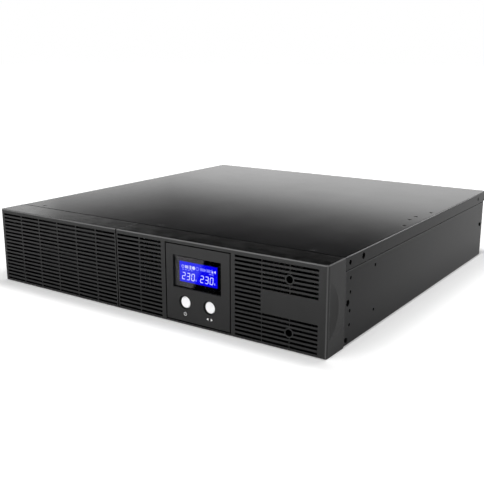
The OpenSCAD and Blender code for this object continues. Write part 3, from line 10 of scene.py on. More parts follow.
import bmesh
import bpy
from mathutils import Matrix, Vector


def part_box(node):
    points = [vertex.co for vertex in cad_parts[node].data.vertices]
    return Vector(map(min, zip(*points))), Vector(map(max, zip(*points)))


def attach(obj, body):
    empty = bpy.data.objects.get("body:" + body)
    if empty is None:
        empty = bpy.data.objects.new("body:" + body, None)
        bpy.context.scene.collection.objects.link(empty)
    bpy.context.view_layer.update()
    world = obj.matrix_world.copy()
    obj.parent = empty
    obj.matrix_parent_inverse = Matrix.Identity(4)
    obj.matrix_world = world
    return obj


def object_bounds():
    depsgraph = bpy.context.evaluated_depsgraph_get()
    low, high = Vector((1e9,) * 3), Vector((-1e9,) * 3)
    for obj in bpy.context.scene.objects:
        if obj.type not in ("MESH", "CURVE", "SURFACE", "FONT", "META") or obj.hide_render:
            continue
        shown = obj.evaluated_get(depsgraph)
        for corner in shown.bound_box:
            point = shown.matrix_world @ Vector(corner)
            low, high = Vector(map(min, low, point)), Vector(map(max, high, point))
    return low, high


MM = 0.001

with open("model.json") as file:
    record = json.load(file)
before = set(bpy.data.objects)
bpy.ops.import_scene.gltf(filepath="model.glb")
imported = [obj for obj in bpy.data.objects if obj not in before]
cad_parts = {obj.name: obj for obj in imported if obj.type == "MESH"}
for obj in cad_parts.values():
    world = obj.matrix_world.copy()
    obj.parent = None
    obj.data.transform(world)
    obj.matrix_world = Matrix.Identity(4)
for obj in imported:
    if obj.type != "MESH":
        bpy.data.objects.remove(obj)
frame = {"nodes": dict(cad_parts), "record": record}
cad_low, cad_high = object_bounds()
case_centre = (cad_low + cad_high) / 2


# ---- Camera ----

CAMERA_AZIMUTH = 34.51
CAMERA_ELEVATION = 14.07
CAMERA_DISTANCE = 0.9327
CAMERA_LENS = 55.1
AIM_OFFSET = Vector((-0.0048, -0.0303, -0.0066))  # from the middle of the case to where the camera looks


def towards(azimuth, elevation):
    """Unit vector from the object to a viewer at these angles in degrees; azimuth 0 is in front."""
    a, e = math.radians(azimuth), math.radians(elevation)
    return Vector((math.sin(a) * math.cos(e), -math.cos(a) * math.cos(e), math.sin(e)))


def aim(thing, place, target):
    thing.location = place
    thing.rotation_mode = "QUATERNION"
    thing.rotation_quaternion = (target - place).to_track_quat("-Z", "Y")


def new_object(name, data):
    thing = bpy.data.objects.new(name, data)
    bpy.context.scene.collection.objects.link(thing)
    return thing


def make_camera():
    camera = new_object("camera", bpy.data.cameras.new("camera"))
    camera.data.sensor_width = 36
    camera.data.lens = CAMERA_LENS
    camera.data.clip_start, camera.data.clip_end = 0.02, 60
    target = case_centre + AIM_OFFSET
    aim(camera, target + towards(CAMERA_AZIMUTH, CAMERA_ELEVATION) * CAMERA_DISTANCE, target)
    bpy.context.scene.camera = camera


# ---- Node trees ----


def add(tree, kind, inputs=None, **settings):
    """A new node with its settings, and its inputs set from values or linked from sockets."""
    made = tree.nodes.new(kind)
    for key, value in settings.items():
        setattr(made, key, value)
    for key, value in (inputs or {}).items():
        if isinstance(value, bpy.types.NodeSocket):
            tree.links.new(value, made.inputs[key])
        else:
            made.inputs[key].default_value = value
    return made


def math_of(tree, operation, a, b=0.0, clamp=False):
    return add(tree, "ShaderNodeMath", {0: a, 1: b}, operation=operation, use_clamp=clamp).outputs[0]


def remap(tree, value, low, high, to_low, to_high, smooth=False):
    made = add(
        tree, "ShaderNodeMapRange",
        {"Value": value, "From Min": low, "From Max": high, "To Min": to_low, "To Max": to_high},
        interpolation_type="SMOOTHSTEP" if smooth else "LINEAR",
    )
    return made.outputs["Result"]


def within(tree, value, low, high):
    """1 where the value lies between low and high, otherwise 0."""
    made = add(
        tree, "ShaderNodeMath", {0: value, 1: (low + high) / 2, 2: (high - low) / 2}, operation="COMPARE"
    )
    return made.outputs[0]


def all_of(tree, first, *others):
    """The product of several masks."""
    for other in others:
        first = math_of(tree, "MULTIPLY", first, other)
    return first


def any_of(tree, first, *others):
    """The largest of several masks."""
    for other in others:
        first = math_of(tree, "MAXIMUM", first, other)
    return first


def mix_colours(tree, factor, a, b):
    made = add(tree, "ShaderNodeMix", data_type="RGBA")
    for index, value in ((0, factor), (6, a), (7, b)):
        if isinstance(value, bpy.types.NodeSocket):
            tree.links.new(value, made.inputs[index])
        else:
            made.inputs[index].default_value = value
    return made.outputs[2]


def noise(tree, coords, size, detail=3.0, roughness=0.55, stretch=None):
    """Noise whose features measure about size metres, stretched along the axes if asked."""
    if stretch:
        coords = add(tree, "ShaderNodeMapping", {"Vector": coords, "Scale": stretch}).outputs[0]
    made = add(
        tree, "ShaderNodeTexNoise",
        {"Vector": coords, "Scale": 1 / size, "Detail": detail, "Roughness": roughness},
    )
    return made.outputs["Fac"]


def srgb(r, g, b):
    """Linear colour from the 0 to 255 values that a colour picker shows."""
    def linear(v):
        v /= 255
        return v / 12.92 if v <= 0.04045 else ((v + 0.055) / 1.055) ** 2.4
    return (linear(r), linear(g), linear(b), 1.0)


def scaled(colour, factor):
    return tuple(min(1.0, c * factor) for c in colour[:3]) + (1.0,)


# ---- Finishes ----

CORNER_LINE = 1.6 * MM  # half width of the painted highlight down the front moulding's upright corners
LONG_EDGE_R = 1.2 * MM  # radius of its long upper edge and of the lid's folds
CORNER_SHEEN = 5.0  # how much lighter the painted highlight on the upright corners is
EDGE_SHEEN = 7.0  # how much lighter the painted highlights on the long edges, the folds and the sheet edges beside joints are
HEIGHT_SHEEN = 1.75  # how much lighter the front plastic's painted light makes it at the top than at the floor
TOP_FACE_SHADE = 0.12  # how dark the painted shade on the top face of the front plastic is
RIB_SHADE = 0.15  # share of the painted shade inside the slots that faces turned to the front keep
INNER_SHADE = 0.1  # how dark the painted shade inside slots, holes and joints is
RIM_R = 7.2 * MM  # radius of the painted shade round each button
RIM_SHIFT = 0.5 * MM  # how far that painted shade is set to the left of the button
DOOR_GAP = 0.4 * MM  # how far the painted shade in the joint beside the battery door spreads
TOP_GAP = 1.6 * MM  # reach of the painted shade in the joint under the lid's flange
FRONT_GAP = 2.8 * MM  # reach of the painted shade in the joint behind the front moulding
LID_GAP = 0.6 * MM  # reach of the painted shade in the joint along the front of the lid's top
EDGE_LINE = 1.0 * MM  # width of the painted highlight on the sheet edge beside a joint
REAR_SHINE = 1.8  # how much glossier the powder coat is at the back than at the front
SHEET = 1.2 * MM  # thickness of the case's sheet steel
SKIN = 0.1 * MM  # how far under a sheet's faces the walls of its holes count as inside
REFLECTION_SLANT = 0.5  # sideways run of the painted reflection's border per unit of height
REFLECTION_BLUR = 3 * MM  # half width of that border


class Finish:
    """A Principled material under construction, with the coordinates and edge normals its patterns use."""

    def __init__(self, name, edge_radius=0.4 * MM):
        self.material = bpy.data.materials.new(name)
        self.material.use_nodes = True
        self.tree = self.material.node_tree
        self.shader = self.tree.nodes["Principled BSDF"]
        self.coords = add(self.tree, "ShaderNodeTexCoord").outputs["Object"]
        self.rounded = add(
            self.tree, "ShaderNodeBevel", {"Radius": edge_radius}, samples=6
        ).outputs["Normal"]
        self.heights = []

    def set(self, **values):
        for key, value in values.items():
            self.shader.inputs[key.replace("_", " ").title().replace("Ior", "IOR")].default_value = value
        return self

    def link(self, socket, name):
        self.tree.links.new(socket, self.shader.inputs[name])
        return self

    def place(self):
        """The position's own x, y and z."""
        return add(self.tree, "ShaderNodeSeparateXYZ", {"Vector": self.coords}).outputs

    def facing(self):
        """The x, y and z of the direction that the face looks in."""
        normal = add(self.tree, "ShaderNodeTexCoord").outputs["Normal"]
        return add(self.tree, "ShaderNodeSeparateXYZ", {"Vector": normal}).outputs

    def forwards(self):
        """1 on faces that look to the front, falling to 0 on faces square to them."""
        return math_of(self.tree, "MULTIPLY", self.facing()[1], -1.0, clamp=True)

    def tint(self, amount, colour):
        """Lays another colour over the base colour where the mask says so."""
        below = self.shader.inputs["Base Color"].links[0].from_socket
        return self.link(mix_colours(self.tree, amount, below, colour), "Base Color")

    def edge(self):
        """1 along outer edges and corners, 0 on flat faces."""
        face = add(self.tree, "ShaderNodeNewGeometry").outputs["True Normal"]
        turned = add(self.tree, "ShaderNodeVectorMath", {0: self.rounded, 1: face}, operation="DOT_PRODUCT")
        return remap(self.tree, turned.outputs["Value"], 0.995, 0.86, 0.0, 1.0)

    def colour(self, base, mottle, mottle_size, wear_and_sheen_colour=None, wear_and_sheen=0.0):
        """The base colour with soft blotches, and a lighter tint that breaks up along the edges, partly wear
        and partly painted highlight.
        """
        blotches = noise(self.tree, self.coords, mottle_size)
        shade = mix_colours(
            self.tree, remap(self.tree, blotches, 0.3, 0.7, 0.0, 1.0),
            scaled(base, 1 - mottle), scaled(base, 1 + mottle),
        )
        # Along the edges: a lighter tint that is partly wear and partly painted highlight.
        if wear_and_sheen:
            broken = noise(self.tree, self.coords, 5 * MM, detail=5.0, roughness=0.7)
            amount = math_of(
                self.tree, "MULTIPLY", self.edge(), remap(self.tree, broken, 0.35, 0.7, wear_and_sheen * 0.4, wear_and_sheen)
            )
            shade = mix_colours(self.tree, amount, shade, wear_and_sheen_colour or scaled(base, 3.0))
        return self.link(shade, "Base Color")

    def roughness(self, base, spread, size=12 * MM):
        """Roughness that wanders about its base, as handling and dust leave it."""
        wander = noise(self.tree, self.coords, size, detail=4.0, roughness=0.65)
        return self.link(
            remap(self.tree, wander, 0.3, 0.7, base - spread, base + spread), "Roughness"
        )

    def grain(self, size, depth, detail=2.0, stretch=None):
        """Height noise of this size and depth, added to the bump that done() makes."""
        height = noise(self.tree, self.coords, size, detail=detail, stretch=stretch)
        self.heights.append((height, depth))
        return self

    def done(self):
        normal = self.rounded
        for height, depth in self.heights:
            normal = add(
                self.tree, "ShaderNodeBump",
                {"Height": height, "Distance": depth, "Strength": 1.0, "Normal": normal},
            ).outputs["Normal"]
        self.link(normal, "Normal")
        return self.material


def moulded_plastic(name, base, roughness=0.5, grain=0.5 * MM, depth=0.008 * MM, wear_and_sheen=0.35, shine=0.5):
    """Injection-moulded plastic with a fine spark-eroded texture and slightly lighter edges, partly wear and
    partly painted highlight.
    """
    made = Finish(name, 0.5 * MM)
    made.colour(base, 0.04, 40 * MM, wear_and_sheen=wear_and_sheen).roughness(roughness, 0.03)
    made.grain(grain, depth).grain(9 * MM, 0.012 * MM)
    made.set(specular_ior_level=shine)
    return made.done()


def front_plastic(name, base, roughness):
    """Moulded plastic for the front, made lighter towards the top by painted light; its maker adds the rest and
    calls done().
    """
    made = Finish(name, 0.5 * MM)
    low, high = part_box("front_bezel")
    made.colour(base, 0.04, 40 * MM, wear_and_sheen=0.12).roughness(roughness, 0.03)
    plain = made.shader.inputs["Base Color"].links[0].from_socket
    # Painted light: the plastic grows lighter towards the top.
    sheen = remap(made.tree, made.place()[2], low.z, high.z, 1.0, HEIGHT_SHEEN)
    lighter = add(made.tree, "ShaderNodeVectorMath", {0: plain, 3: sheen}, operation="SCALE")
    return made.link(lighter.outputs[0], "Base Color")


def front_moulding(name, base, roughness, shine):
    """Moulded plastic with painted highlights down its upright corners and along its long upper edge, painted
    shade on its top face, and nearly black painted shade that reflects nothing inside its slots, pockets and
    joints.
    """
    made = front_plastic(name, base, roughness)
    tree = made.tree
    low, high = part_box("front_bezel")
    door_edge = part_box("battery_door")[1].x
    x, y, z = made.place()
    from_side = math_of(tree, "SUBTRACT", high.x, math_of(tree, "ABSOLUTE", x))
    depth = math_of(tree, "SUBTRACT", y, low.y)

    top = all_of(
        tree, math_of(tree, "GREATER_THAN", made.facing()[2], 0.9),
        math_of(tree, "GREATER_THAN", z, high.z - 0.05 * MM),
    )
    # Painted highlight: a lighter line down each upright corner.
    askew = math_of(tree, "ABSOLUTE", math_of(tree, "SUBTRACT", from_side, depth))
    corner = all_of(
        tree, remap(tree, askew, 0.0, CORNER_LINE, 1.0, 0.0), math_of(tree, "LESS_THAN", from_side, 3 * MM)
    )
    from_edge = math_of(tree, "MINIMUM", depth, from_side)
    # Painted highlight along the long upper edge.
    long_edge = all_of(
        tree, remap(tree, math_of(tree, "SUBTRACT", high.z, z), 0.0, LONG_EDGE_R, 2.0, 0.0),
        remap(tree, from_edge, 0.0, LONG_EDGE_R, 2.0, 0.0),
    )
    # Painted shade on the top face; painted highlights on the upright corners and the long upper edge.
    made.tint(top, scaled(base, TOP_FACE_SHADE))
    made.tint(corner, scaled(base, CORNER_SHEEN)).tint(long_edge, scaled(base, EDGE_SHEEN))

    # The painted shade in the joint beside the door lies near the front only, and the joint never counts as a
    # slot behind that.
    at_joint = within(tree, x, door_edge - DOOR_GAP, door_edge + 2 * DOOR_GAP)
    deep = math_of(tree, "GREATER_THAN", depth, 3 * MM)
    joint = all_of(tree, at_joint, math_of(tree, "SUBTRACT", 1.0, deep))
    slots = all_of(
        tree, remap(tree, depth, 0.03 * MM, 0.25 * MM, 0.0, 1.0),
        math_of(tree, "SUBTRACT", 1.0, all_of(tree, at_joint, deep)),
        remap(tree, made.forwards(), 0.0, 1.0, 1.0, RIB_SHADE),
        math_of(tree, "GREATER_THAN", from_side, 3.2 * MM),
        within(tree, z, low.z + 2 * MM, high.z - 2 * MM),
    )
    rear_edge = all_of(
        tree, math_of(tree, "GREATER_THAN", depth, high.y - low.y - 0.8 * MM),
        math_of(tree, "GREATER_THAN", z, high.z - 0.8 * MM),
    )
    # Painted shade: the insides of slots, pockets and joints turn nearly black and reflect nothing.
    inner = any_of(tree, slots, rear_edge, joint)
    made.tint(inner, scaled(base, INNER_SHADE))
    made.link(remap(tree, inner, 0.0, 1.0, shine, 0.0), "Specular IOR Level")
    made.link(remap(tree, inner, 0.0, 1.0, 1.5, 1.0), "IOR")  # an index of 1 reflects nothing
    made.grain(0.5 * MM, 0.003 * MM).grain(9 * MM, 0.006 * MM)
    return made.done()


def display_moulding(name, base, roughness, shine):
    """The display housing's plastic, with painted shade in a ring round each button's hole."""
    made = front_plastic(name, base, roughness)
    tree = made.tree
    x, y, z = made.place()
    for node in ("power_button", "select_button"):
        low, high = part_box(node)
        right = math_of(tree, "SUBTRACT", x, (low.x + high.x) / 2 - RIM_SHIFT)
        up = math_of(tree, "SUBTRACT", z, (low.z + high.z) / 2)
        away = math_of(
            tree, "SQRT", math_of(tree, "ADD", all_of(tree, right, right), all_of(tree, up, up))
        )
        # Painted shade round the button's hole.
        made.tint(math_of(tree, "LESS_THAN", away, RIM_R), scaled(base, 0.08))
    made.set(specular_ior_level=shine)
    made.grain(0.35 * MM, 0.004 * MM).grain(9 * MM, 0.012 * MM)
    return made.done()


def powder_coat(name, base, roughness, shine):
    """Sheet steel under a fine powder coat, with painted shade in its joints and inside its holes, and painted
    highlights on its folds and on the sheet edges beside the joints.
    """
    made = Finish(name, 0.5 * MM)
    tree = made.tree
    low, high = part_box("top_cover")
    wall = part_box("chassis_pan")[1].x
    x, y, z = made.place()
    across = math_of(tree, "ABSOLUTE", x)
    down = math_of(tree, "SUBTRACT", low.z, z)
    back = math_of(tree, "SUBTRACT", y, low.y)

    along = within(tree, y, low.y + 2 * MM, high.y - 6 * MM)
    lid_hole = all_of(
        tree, along, math_of(tree, "LESS_THAN", across, wall - SHEET),
        within(tree, z, high.z - SHEET + SKIN, high.z - SKIN),
    )
    in_wall = within(tree, across, wall - SHEET + SKIN, wall - SKIN)
    in_flange = within(tree, across, high.x - SHEET + SKIN, high.x - SKIN)
    side_hole = all_of(
        tree, along, math_of(tree, "ADD", in_wall, in_flange), within(tree, z, 2 * MM, high.z - 2 * MM)
    )

    def beside_joint(line):
        """1 on the walls up to this far past the gaps under the flange and behind the front moulding."""
        return any_of(
            tree, math_of(tree, "LESS_THAN", down, TOP_GAP + line),
            math_of(tree, "LESS_THAN", back, FRONT_GAP + line),
        )

    outer = within(tree, across, wall - 0.02 * MM, wall + 0.02 * MM)
    side_joint = all_of(tree, outer, beside_joint(0.0))
    lid_joint = all_of(
        tree, math_of(tree, "LESS_THAN", back, LID_GAP), math_of(tree, "GREATER_THAN", z, high.z - SKIN)
    )
    dark = math_of(tree, "MAXIMUM", any_of(tree, lid_hole, side_hole, side_joint), lid_joint, clamp=True)
    # Painted highlights on the lid's folds and on the sheet edges beside the joints.
    fold = all_of(
        tree, remap(tree, across, high.x - LONG_EDGE_R, high.x, 0.0, 2.0),
        remap(tree, z, high.z - LONG_EDGE_R, high.z, 0.0, 2.0),
    )
    edge = math_of(tree, "MAXIMUM", all_of(tree, outer, beside_joint(EDGE_LINE)), fold, clamp=True)
    made.colour(base, 0.03, 60 * MM, wear_and_sheen=0.5, wear_and_sheen_colour=scaled(base, 2.6))
    made.roughness(roughness, 0.012, 60 * MM)
    # Painted highlights on the folds and sheet edges, painted shade in the joints and holes.
    made.tint(edge, scaled(base, EDGE_SHEEN)).tint(dark, scaled(base, INNER_SHADE))
    rise = remap(tree, y, low.y, high.y, shine, shine * REAR_SHINE)
    made.link(all_of(tree, rise, remap(tree, dark, 0.0, 1.0, 1.0, 0.0)), "Specular IOR Level")
    made.grain(0.9 * MM, 0.005 * MM).grain(6 * MM, 0.004 * MM)
    return made.done()


def zinc_sheet(name, base, spangle=7 * MM, roughness=0.38):
    """Galvanised sheet: faceted zinc crystals that differ a little in tone and gloss."""
    made = Finish(name, 0.3 * MM)
    cells = add(
        made.tree, "ShaderNodeTexVoronoi", {"Vector": made.coords, "Scale": 1 / spangle, "Randomness": 1.0}
    )
    tone = add(made.tree, "ShaderNodeSeparateColor", {"Color": cells.outputs["Color"]}).outputs[0]
    smudge = noise(made.tree, made.coords, 25 * MM)
    crystal = mix_colours(made.tree, tone, scaled(base, 0.82), scaled(base, 1.1))
    made.link(
        mix_colours(made.tree, remap(made.tree, smudge, 0.4, 0.75, 0.0, 0.4), crystal, scaled(base, 0.7)),
        "Base Color",
    )
    made.link(remap(made.tree, tone, 0.0, 1.0, roughness - 0.08, roughness + 0.12), "Roughness")
    made.set(metallic=1.0)
    made.grain(1.2 * MM, 0.01 * MM)
    return made.done()


def plated_steel(name, base, roughness=0.25, wear_and_sheen=0.3):
    """Nickel or zinc plated hardware with fine turned marks."""
    made = Finish(name, 0.25 * MM)
    made.colour(base, 0.08, 6 * MM, wear_and_sheen=wear_and_sheen, wear_and_sheen_colour=scaled(base, 1.4)).roughness(roughness, 0.08, 3 * MM)
    made.grain(0.3 * MM, 0.008 * MM, stretch=(1.0, 1.0, 6.0))
    made.set(metallic=1.0)
    return made.done()


def blacked_steel(name):
    """Black oxide on screws, brighter on the edges of the heads, partly rubbed and partly painted highlight."""
    made = Finish(name, 0.25 * MM)
    made.colour(srgb(10, 10, 11), 0.12, 3 * MM, wear_and_sheen=0.2, wear_and_sheen_colour=srgb(48, 48, 50))
    made.roughness(0.12, 0.03, 2 * MM)
    made.grain(0.3 * MM, 0.002 * MM)
    made.set(specular_ior_level=0.2, ior=1.15)
    return made.done()


def circuit_board(name, base):
    """Solder mask over copper tracks, with tinned pads at some of the crossings."""
    made = Finish(name, 0.1 * MM)
    lanes = add(
        made.tree, "ShaderNodeTexVoronoi",
        {"Vector": made.coords, "Scale": 1 / (5 * MM), "Randomness": 0.55},
        distance="MANHATTAN", feature="DISTANCE_TO_EDGE",
    ).outputs["Distance"]
    track = remap(made.tree, lanes, 0.05, 0.07, 1.0, 0.0)
    dots = add(
        made.tree, "ShaderNodeTexVoronoi",
        {"Vector": made.coords, "Scale": 1 / (6.5 * MM), "Randomness": 0.5},
    ).outputs["Distance"]
    pad = remap(made.tree, dots, 0.14, 0.16, 1.0, 0.0)
    masked = mix_colours(made.tree, track, base, scaled(base, 1.9))
    made.link(mix_colours(made.tree, pad, masked, srgb(176, 176, 170)), "Base Color")
    made.link(math_of(made.tree, "MULTIPLY", pad, 0.9), "Metallic")
    made.roughness(0.32, 0.06, 8 * MM)
    made.heights += [(track, 0.03 * MM), (pad, 0.05 * MM)]
    return made.done()


def banded(name, base, band, period, axis, roughness=0.5, metallic=0.0, depth=0.05 * MM, share=0.5):
    """Stripes across an axis, such as stacked plates, wound wire or wrapped tape."""
    made = Finish(name, 0.2 * MM)
    along = made.place()[axis]
    wobble = noise(made.tree, made.coords, 10 * MM)
    place = math_of(made.tree, "ADD", math_of(made.tree, "MULTIPLY", along, 1 / period), wobble)
    wave = math_of(made.tree, "PINGPONG", place, 0.5)
    stripe = remap(made.tree, wave, 0.5 * share - 0.08, 0.5 * share + 0.08, 1.0, 0.0)
    grime = noise(made.tree, made.coords, 14 * MM)
    striped = mix_colours(made.tree, stripe, base, band)
    made.link(
        mix_colours(made.tree, remap(made.tree, grime, 0.4, 0.8, 0.0, 0.35), striped, scaled(base, 0.6)),
        "Base Color",
    )
    made.roughness(roughness, 0.08)
    made.set(metallic=metallic)
    made.heights.append((stripe, depth))
    return made.done()


def lead_sheath(name, base):
    """Extruded PVC insulation, faintly dusty, with shallow ripples from the drum."""
    made = Finish(name, 0.1 * MM)
    made.colour(base, 0.1, 10 * MM).roughness(0.38, 0.07, 6 * MM)
    made.grain(3 * MM, 0.02 * MM)
    return made.done()


def button_cap(name):
    """White push-button plastic that lets a little light in under its skin."""
    made = Finish(name, 0.6 * MM)
    made.colour(srgb(248, 248, 249), 0.01, 8 * MM, wear_and_sheen=0.1, wear_and_sheen_colour=srgb(255, 255, 255))
    made.roughness(0.34, 0.05, 6 * MM)
    made.set(subsurface_weight=0.15, subsurface_radius=(1.0 * MM, 1.0 * MM, 1.0 * MM))
    made.grain(0.4 * MM, 0.008 * MM)
    return made.done()


def clear_window(name):
    """The clear acrylic pane over the display, with faint smears from wiping."""
    made = Finish(name, 0.2 * MM)
    smears = noise(made.tree, made.coords, 14 * MM, stretch=(1, 1, 4))
    made.link(remap(made.tree, smears, 0.35, 0.8, 0.01, 0.03), "Roughness")
    made.set(base_color=(0.95, 0.96, 1.0, 1.0), transmission_weight=1.0, ior=1.06)
    return made.done()


def painted_pane_reflection(made):
    """1 on the left of a slanted line across the display's window, where a painted reflection of the floor lies
    on the pane, then 0.
    """
    tree = made.tree
    low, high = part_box("screen_window")
    x, y, z = made.place()
    middle = (low.x + high.x) / 2
    rise = math_of(tree, "SUBTRACT", z, (low.z + high.z) / 2)
    across = math_of(tree, "SUBTRACT", x, math_of(tree, "MULTIPLY", rise, REFLECTION_SLANT))
    return all_of(
        tree, within(tree, z, low.z + 3.2 * MM, high.z - 4.4 * MM),
        remap(tree, across, middle - REFLECTION_BLUR, middle + REFLECTION_BLUR, 1.0, 0.0, smooth=True),
    )


def lit_panel(name):
    """The liquid crystal panel: its front glows an uneven blue, paler on the left under a painted reflection of
    the floor; its back and sides are dark.
    """
    made = Finish(name, 0.1 * MM)
    tree = made.tree
    front = made.forwards()
    cloud = noise(tree, made.coords, 12 * MM)
    # Painted reflection: paler blue on the left.
    glow = mix_colours(tree, painted_pane_reflection(made), (0.002, 0.001, 0.82, 1.0), (0.036, 0.041, 0.84, 1.0))
    made.link(glow, "Emission Color")
    made.link(all_of(tree, front, remap(tree, cloud, 0.3, 0.7, 0.92, 1.04)), "Emission Strength")
    made.link(mix_colours(tree, front, srgb(60, 62, 66), srgb(0, 0, 60)), "Base Color")
    made.link(remap(tree, front, 0.0, 1.0, 0.5, 0.0), "Specular IOR Level")
    made.roughness(0.25, 0.04)
    return made.done()


def glowing_marks(name, colour, strength):
    """Lit segments of the display."""
    made = Finish(name, 0.05 * MM)
    flicker = noise(made.tree, made.coords, 4 * MM)
    made.link(remap(made.tree, flicker, 0.3, 0.7, strength * 0.93, strength), "Emission Strength")
    made.set(emission_color=colour, base_color=(0.0, 0.0, 0.1, 1.0), roughness=0.4, specular_ior_level=0.0)
    return made.done()


def printed_ink(name, colour):
    """Pad-printed ink, slightly uneven in cover."""
    made = Finish(name, 0.05 * MM)
    made.colour(colour, 0.06, 1.5 * MM).roughness(0.45, 0.05, 2 * MM)
    made.grain(0.4 * MM, 0.005 * MM)
    return made.done()


def window_black():
    """Black print behind the display's window, greyer on the left under the same painted reflection of the
    floor.
    """
    made = Finish("window_black", 0.05 * MM)
    smear = noise(made.tree, made.coords, 6 * MM)
    # Painted reflection: the print turns grey on the left.
    floor_reflection = math_of(made.tree, "MULTIPLY", painted_pane_reflection(made), remap(made.tree, smear, 0.3, 0.7, 0.85, 1.0))
    made.link(mix_colours(made.tree, floor_reflection, srgb(3, 3, 4), srgb(80, 78, 76)), "Base Color")
    made.roughness(0.45, 0.05, 2 * MM)
    made.set(specular_ior_level=0.0)
    return made.done()


FINISHES = {
    "front_plastic": lambda n: front_moulding(n, srgb(40, 40, 40), 0.12, 0.16),
    "display_plastic": lambda n: display_moulding(n, srgb(39, 39, 39), 0.16, 0.18),
    "powder_coat": lambda n: powder_coat(n, srgb(21, 21, 22), 0.1, 0.13),
    "bare_steel": lambda n: zinc_sheet(n, srgb(176, 178, 180)),
    "bright_steel": lambda n: plated_steel(n, srgb(200, 200, 198)),
    "black_screws": blacked_steel,
    "black_plastic": lambda n: moulded_plastic(n, srgb(26, 26, 28), 0.38, grain=0.3 * MM, depth=0.015 * MM),
    "battery_case": lambda n: moulded_plastic(n, srgb(44, 45, 48), 0.5, grain=0.8 * MM, depth=0.04 * MM),
    "battery_tabs": lambda n: plated_steel(n, srgb(214, 208, 190), 0.3),
    "red_plastic": lambda n: moulded_plastic(n, srgb(196, 26, 20), 0.35, depth=0.01 * MM, wear_and_sheen=0.15),
    "red_lead": lambda n: lead_sheath(n, srgb(190, 22, 18)),
    "black_lead": lambda n: lead_sheath(n, srgb(28, 28, 30)),
    "brown_lead": lambda n: lead_sheath(n, srgb(104, 62, 34)),
    "button_white": button_cap,
    "screen_glass": clear_window,
    "screen_lit": lit_panel,
    "board_green": lambda n: circuit_board(n, srgb(18, 82, 48)),
    "sink_aluminium": lambda n: plated_steel(n, srgb(196, 198, 200), 0.36),
    "chip_black": lambda n: moulded_plastic(n, srgb(30, 30, 32), 0.42, grain=0.2 * MM, depth=0.01 * MM),
    "capacitor_sleeve": lambda n: lead_sheath(n, srgb(26, 34, 84)),
    "relay_blue": lambda n: moulded_plastic(n, srgb(38, 92, 168), 0.3, depth=0.01 * MM, wear_and_sheen=0.1),
    "choke_copper": lambda n: banded(n, srgb(160, 84, 44), srgb(208, 122, 70), 1.4 * MM, 0, 0.3, 0.9),
    "fuse_orange": lambda n: moulded_plastic(n, srgb(232, 116, 26), 0.25, depth=0.005 * MM, wear_and_sheen=0.1),
    "core_steel": lambda n: banded(n, srgb(78, 80, 84), srgb(112, 114, 118), 0.7 * MM, 1, 0.42, 0.8),
    "coil_tape": lambda n: banded(n, srgb(176, 128, 44), srgb(196, 152, 66), 9 * MM, 2, 0.3, 0.0, share=0.9),
}


def dress_nodes():
    """Gives every CAD node the finish of its own material slot."""
    made = {slot: build(slot) for slot, build in FINISHES.items()}
    for part in frame["record"]["subparts"]:
        mesh = frame["nodes"][part["node"]].data
        mesh.materials.clear()
        mesh.materials.append(made[part["material_slot"]])


# ---- Flat marks: display segments and printed symbols ----


class Marks:
    """Outlines drawn in the plane of the front face and raised by a thin layer towards the viewer."""

    def __init__(self, x, y, z, thickness):
        self.x, self.y, self.z, self.thickness = x, y, z, thickness
        self.shapes = []

    def shape(self, points):
        """A filled outline; points are (right, up) in metres from the marks' own origin."""
        self.shapes.append([Vector((self.x + u, self.y, self.z + v)) for u, v in points])

    def bar(self, u0, v0, u1, v1):
        self.shape([(u0, v0), (u1, v0), (u1, v1), (u0, v1)])

    def frame(self, u0, v0, u1, v1, line):
        self.bar(u0, v0, u1, v0 + line)
        self.bar(u0, v1 - line, u1, v1)
        self.bar(u0, v0 + line, u0 + line, v1 - line)
        self.bar(u1 - line, v0 + line, u1, v1 - line)

    def ring(self, u, v, radius, line, start=0.0, sweep=360.0, steps=24):
        """An arc of ring as a run of short blocks; angles in degrees from straight up, clockwise."""
        for i in range(steps):
            a, b = (math.radians(start + sweep * (i + k) / steps) for k in (0, 1))
            self.shape([
                (u + r * math.sin(t), v + r * math.cos(t))
                for t, r in ((a, radius), (b, radius), (b, radius - line), (a, radius - line))
            ])

    def disc(self, u, v, radius, sides=20):
        self.shape([
            (u + radius * math.sin(2 * math.pi * i / sides), v + radius * math.cos(2 * math.pi * i / sides))
            for i in range(sides)
        ])

    def piece(self, name, material, body):
        mesh = bpy.data.meshes.new(name)
        bm = bmesh.new()
        for outline in self.shapes:
            back = [bm.verts.new(p) for p in outline]
            front = [bm.verts.new(p - Vector((0, self.thickness, 0))) for p in outline]
            bm.faces.new(front)
            bm.faces.new(back[::-1])
            for i in range(len(outline)):
                j = (i + 1) % len(outline)
                bm.faces.new((back[i], back[j], front[j], front[i]))
        bmesh.ops.recalc_face_normals(bm, faces=bm.faces)
        bm.to_mesh(mesh)
        bm.free()
        mesh.materials.append(material)
        made = new_object(name, mesh)
        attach(made, body)
        return made


DIGIT_W = 3.4 * MM
DIGIT_H = 6.9 * MM
SEGMENT_W = 0.54 * MM
SEGMENT_GAP = 0.12 * MM
DIGIT_LEAN = 0.09  # sideways shift per unit of height
SEGMENTS = {"0": "abcdef", "2": "abdeg", "3": "abcdg"}


def segment(length):
    """A bar with pointed ends along +u, starting at the origin."""
    h, g = SEGMENT_W / 2, SEGMENT_GAP
    return [(g, 0), (g + h, h), (length - g - h, h), (length - g, 0), (length - g - h, -h), (g + h, -h)]


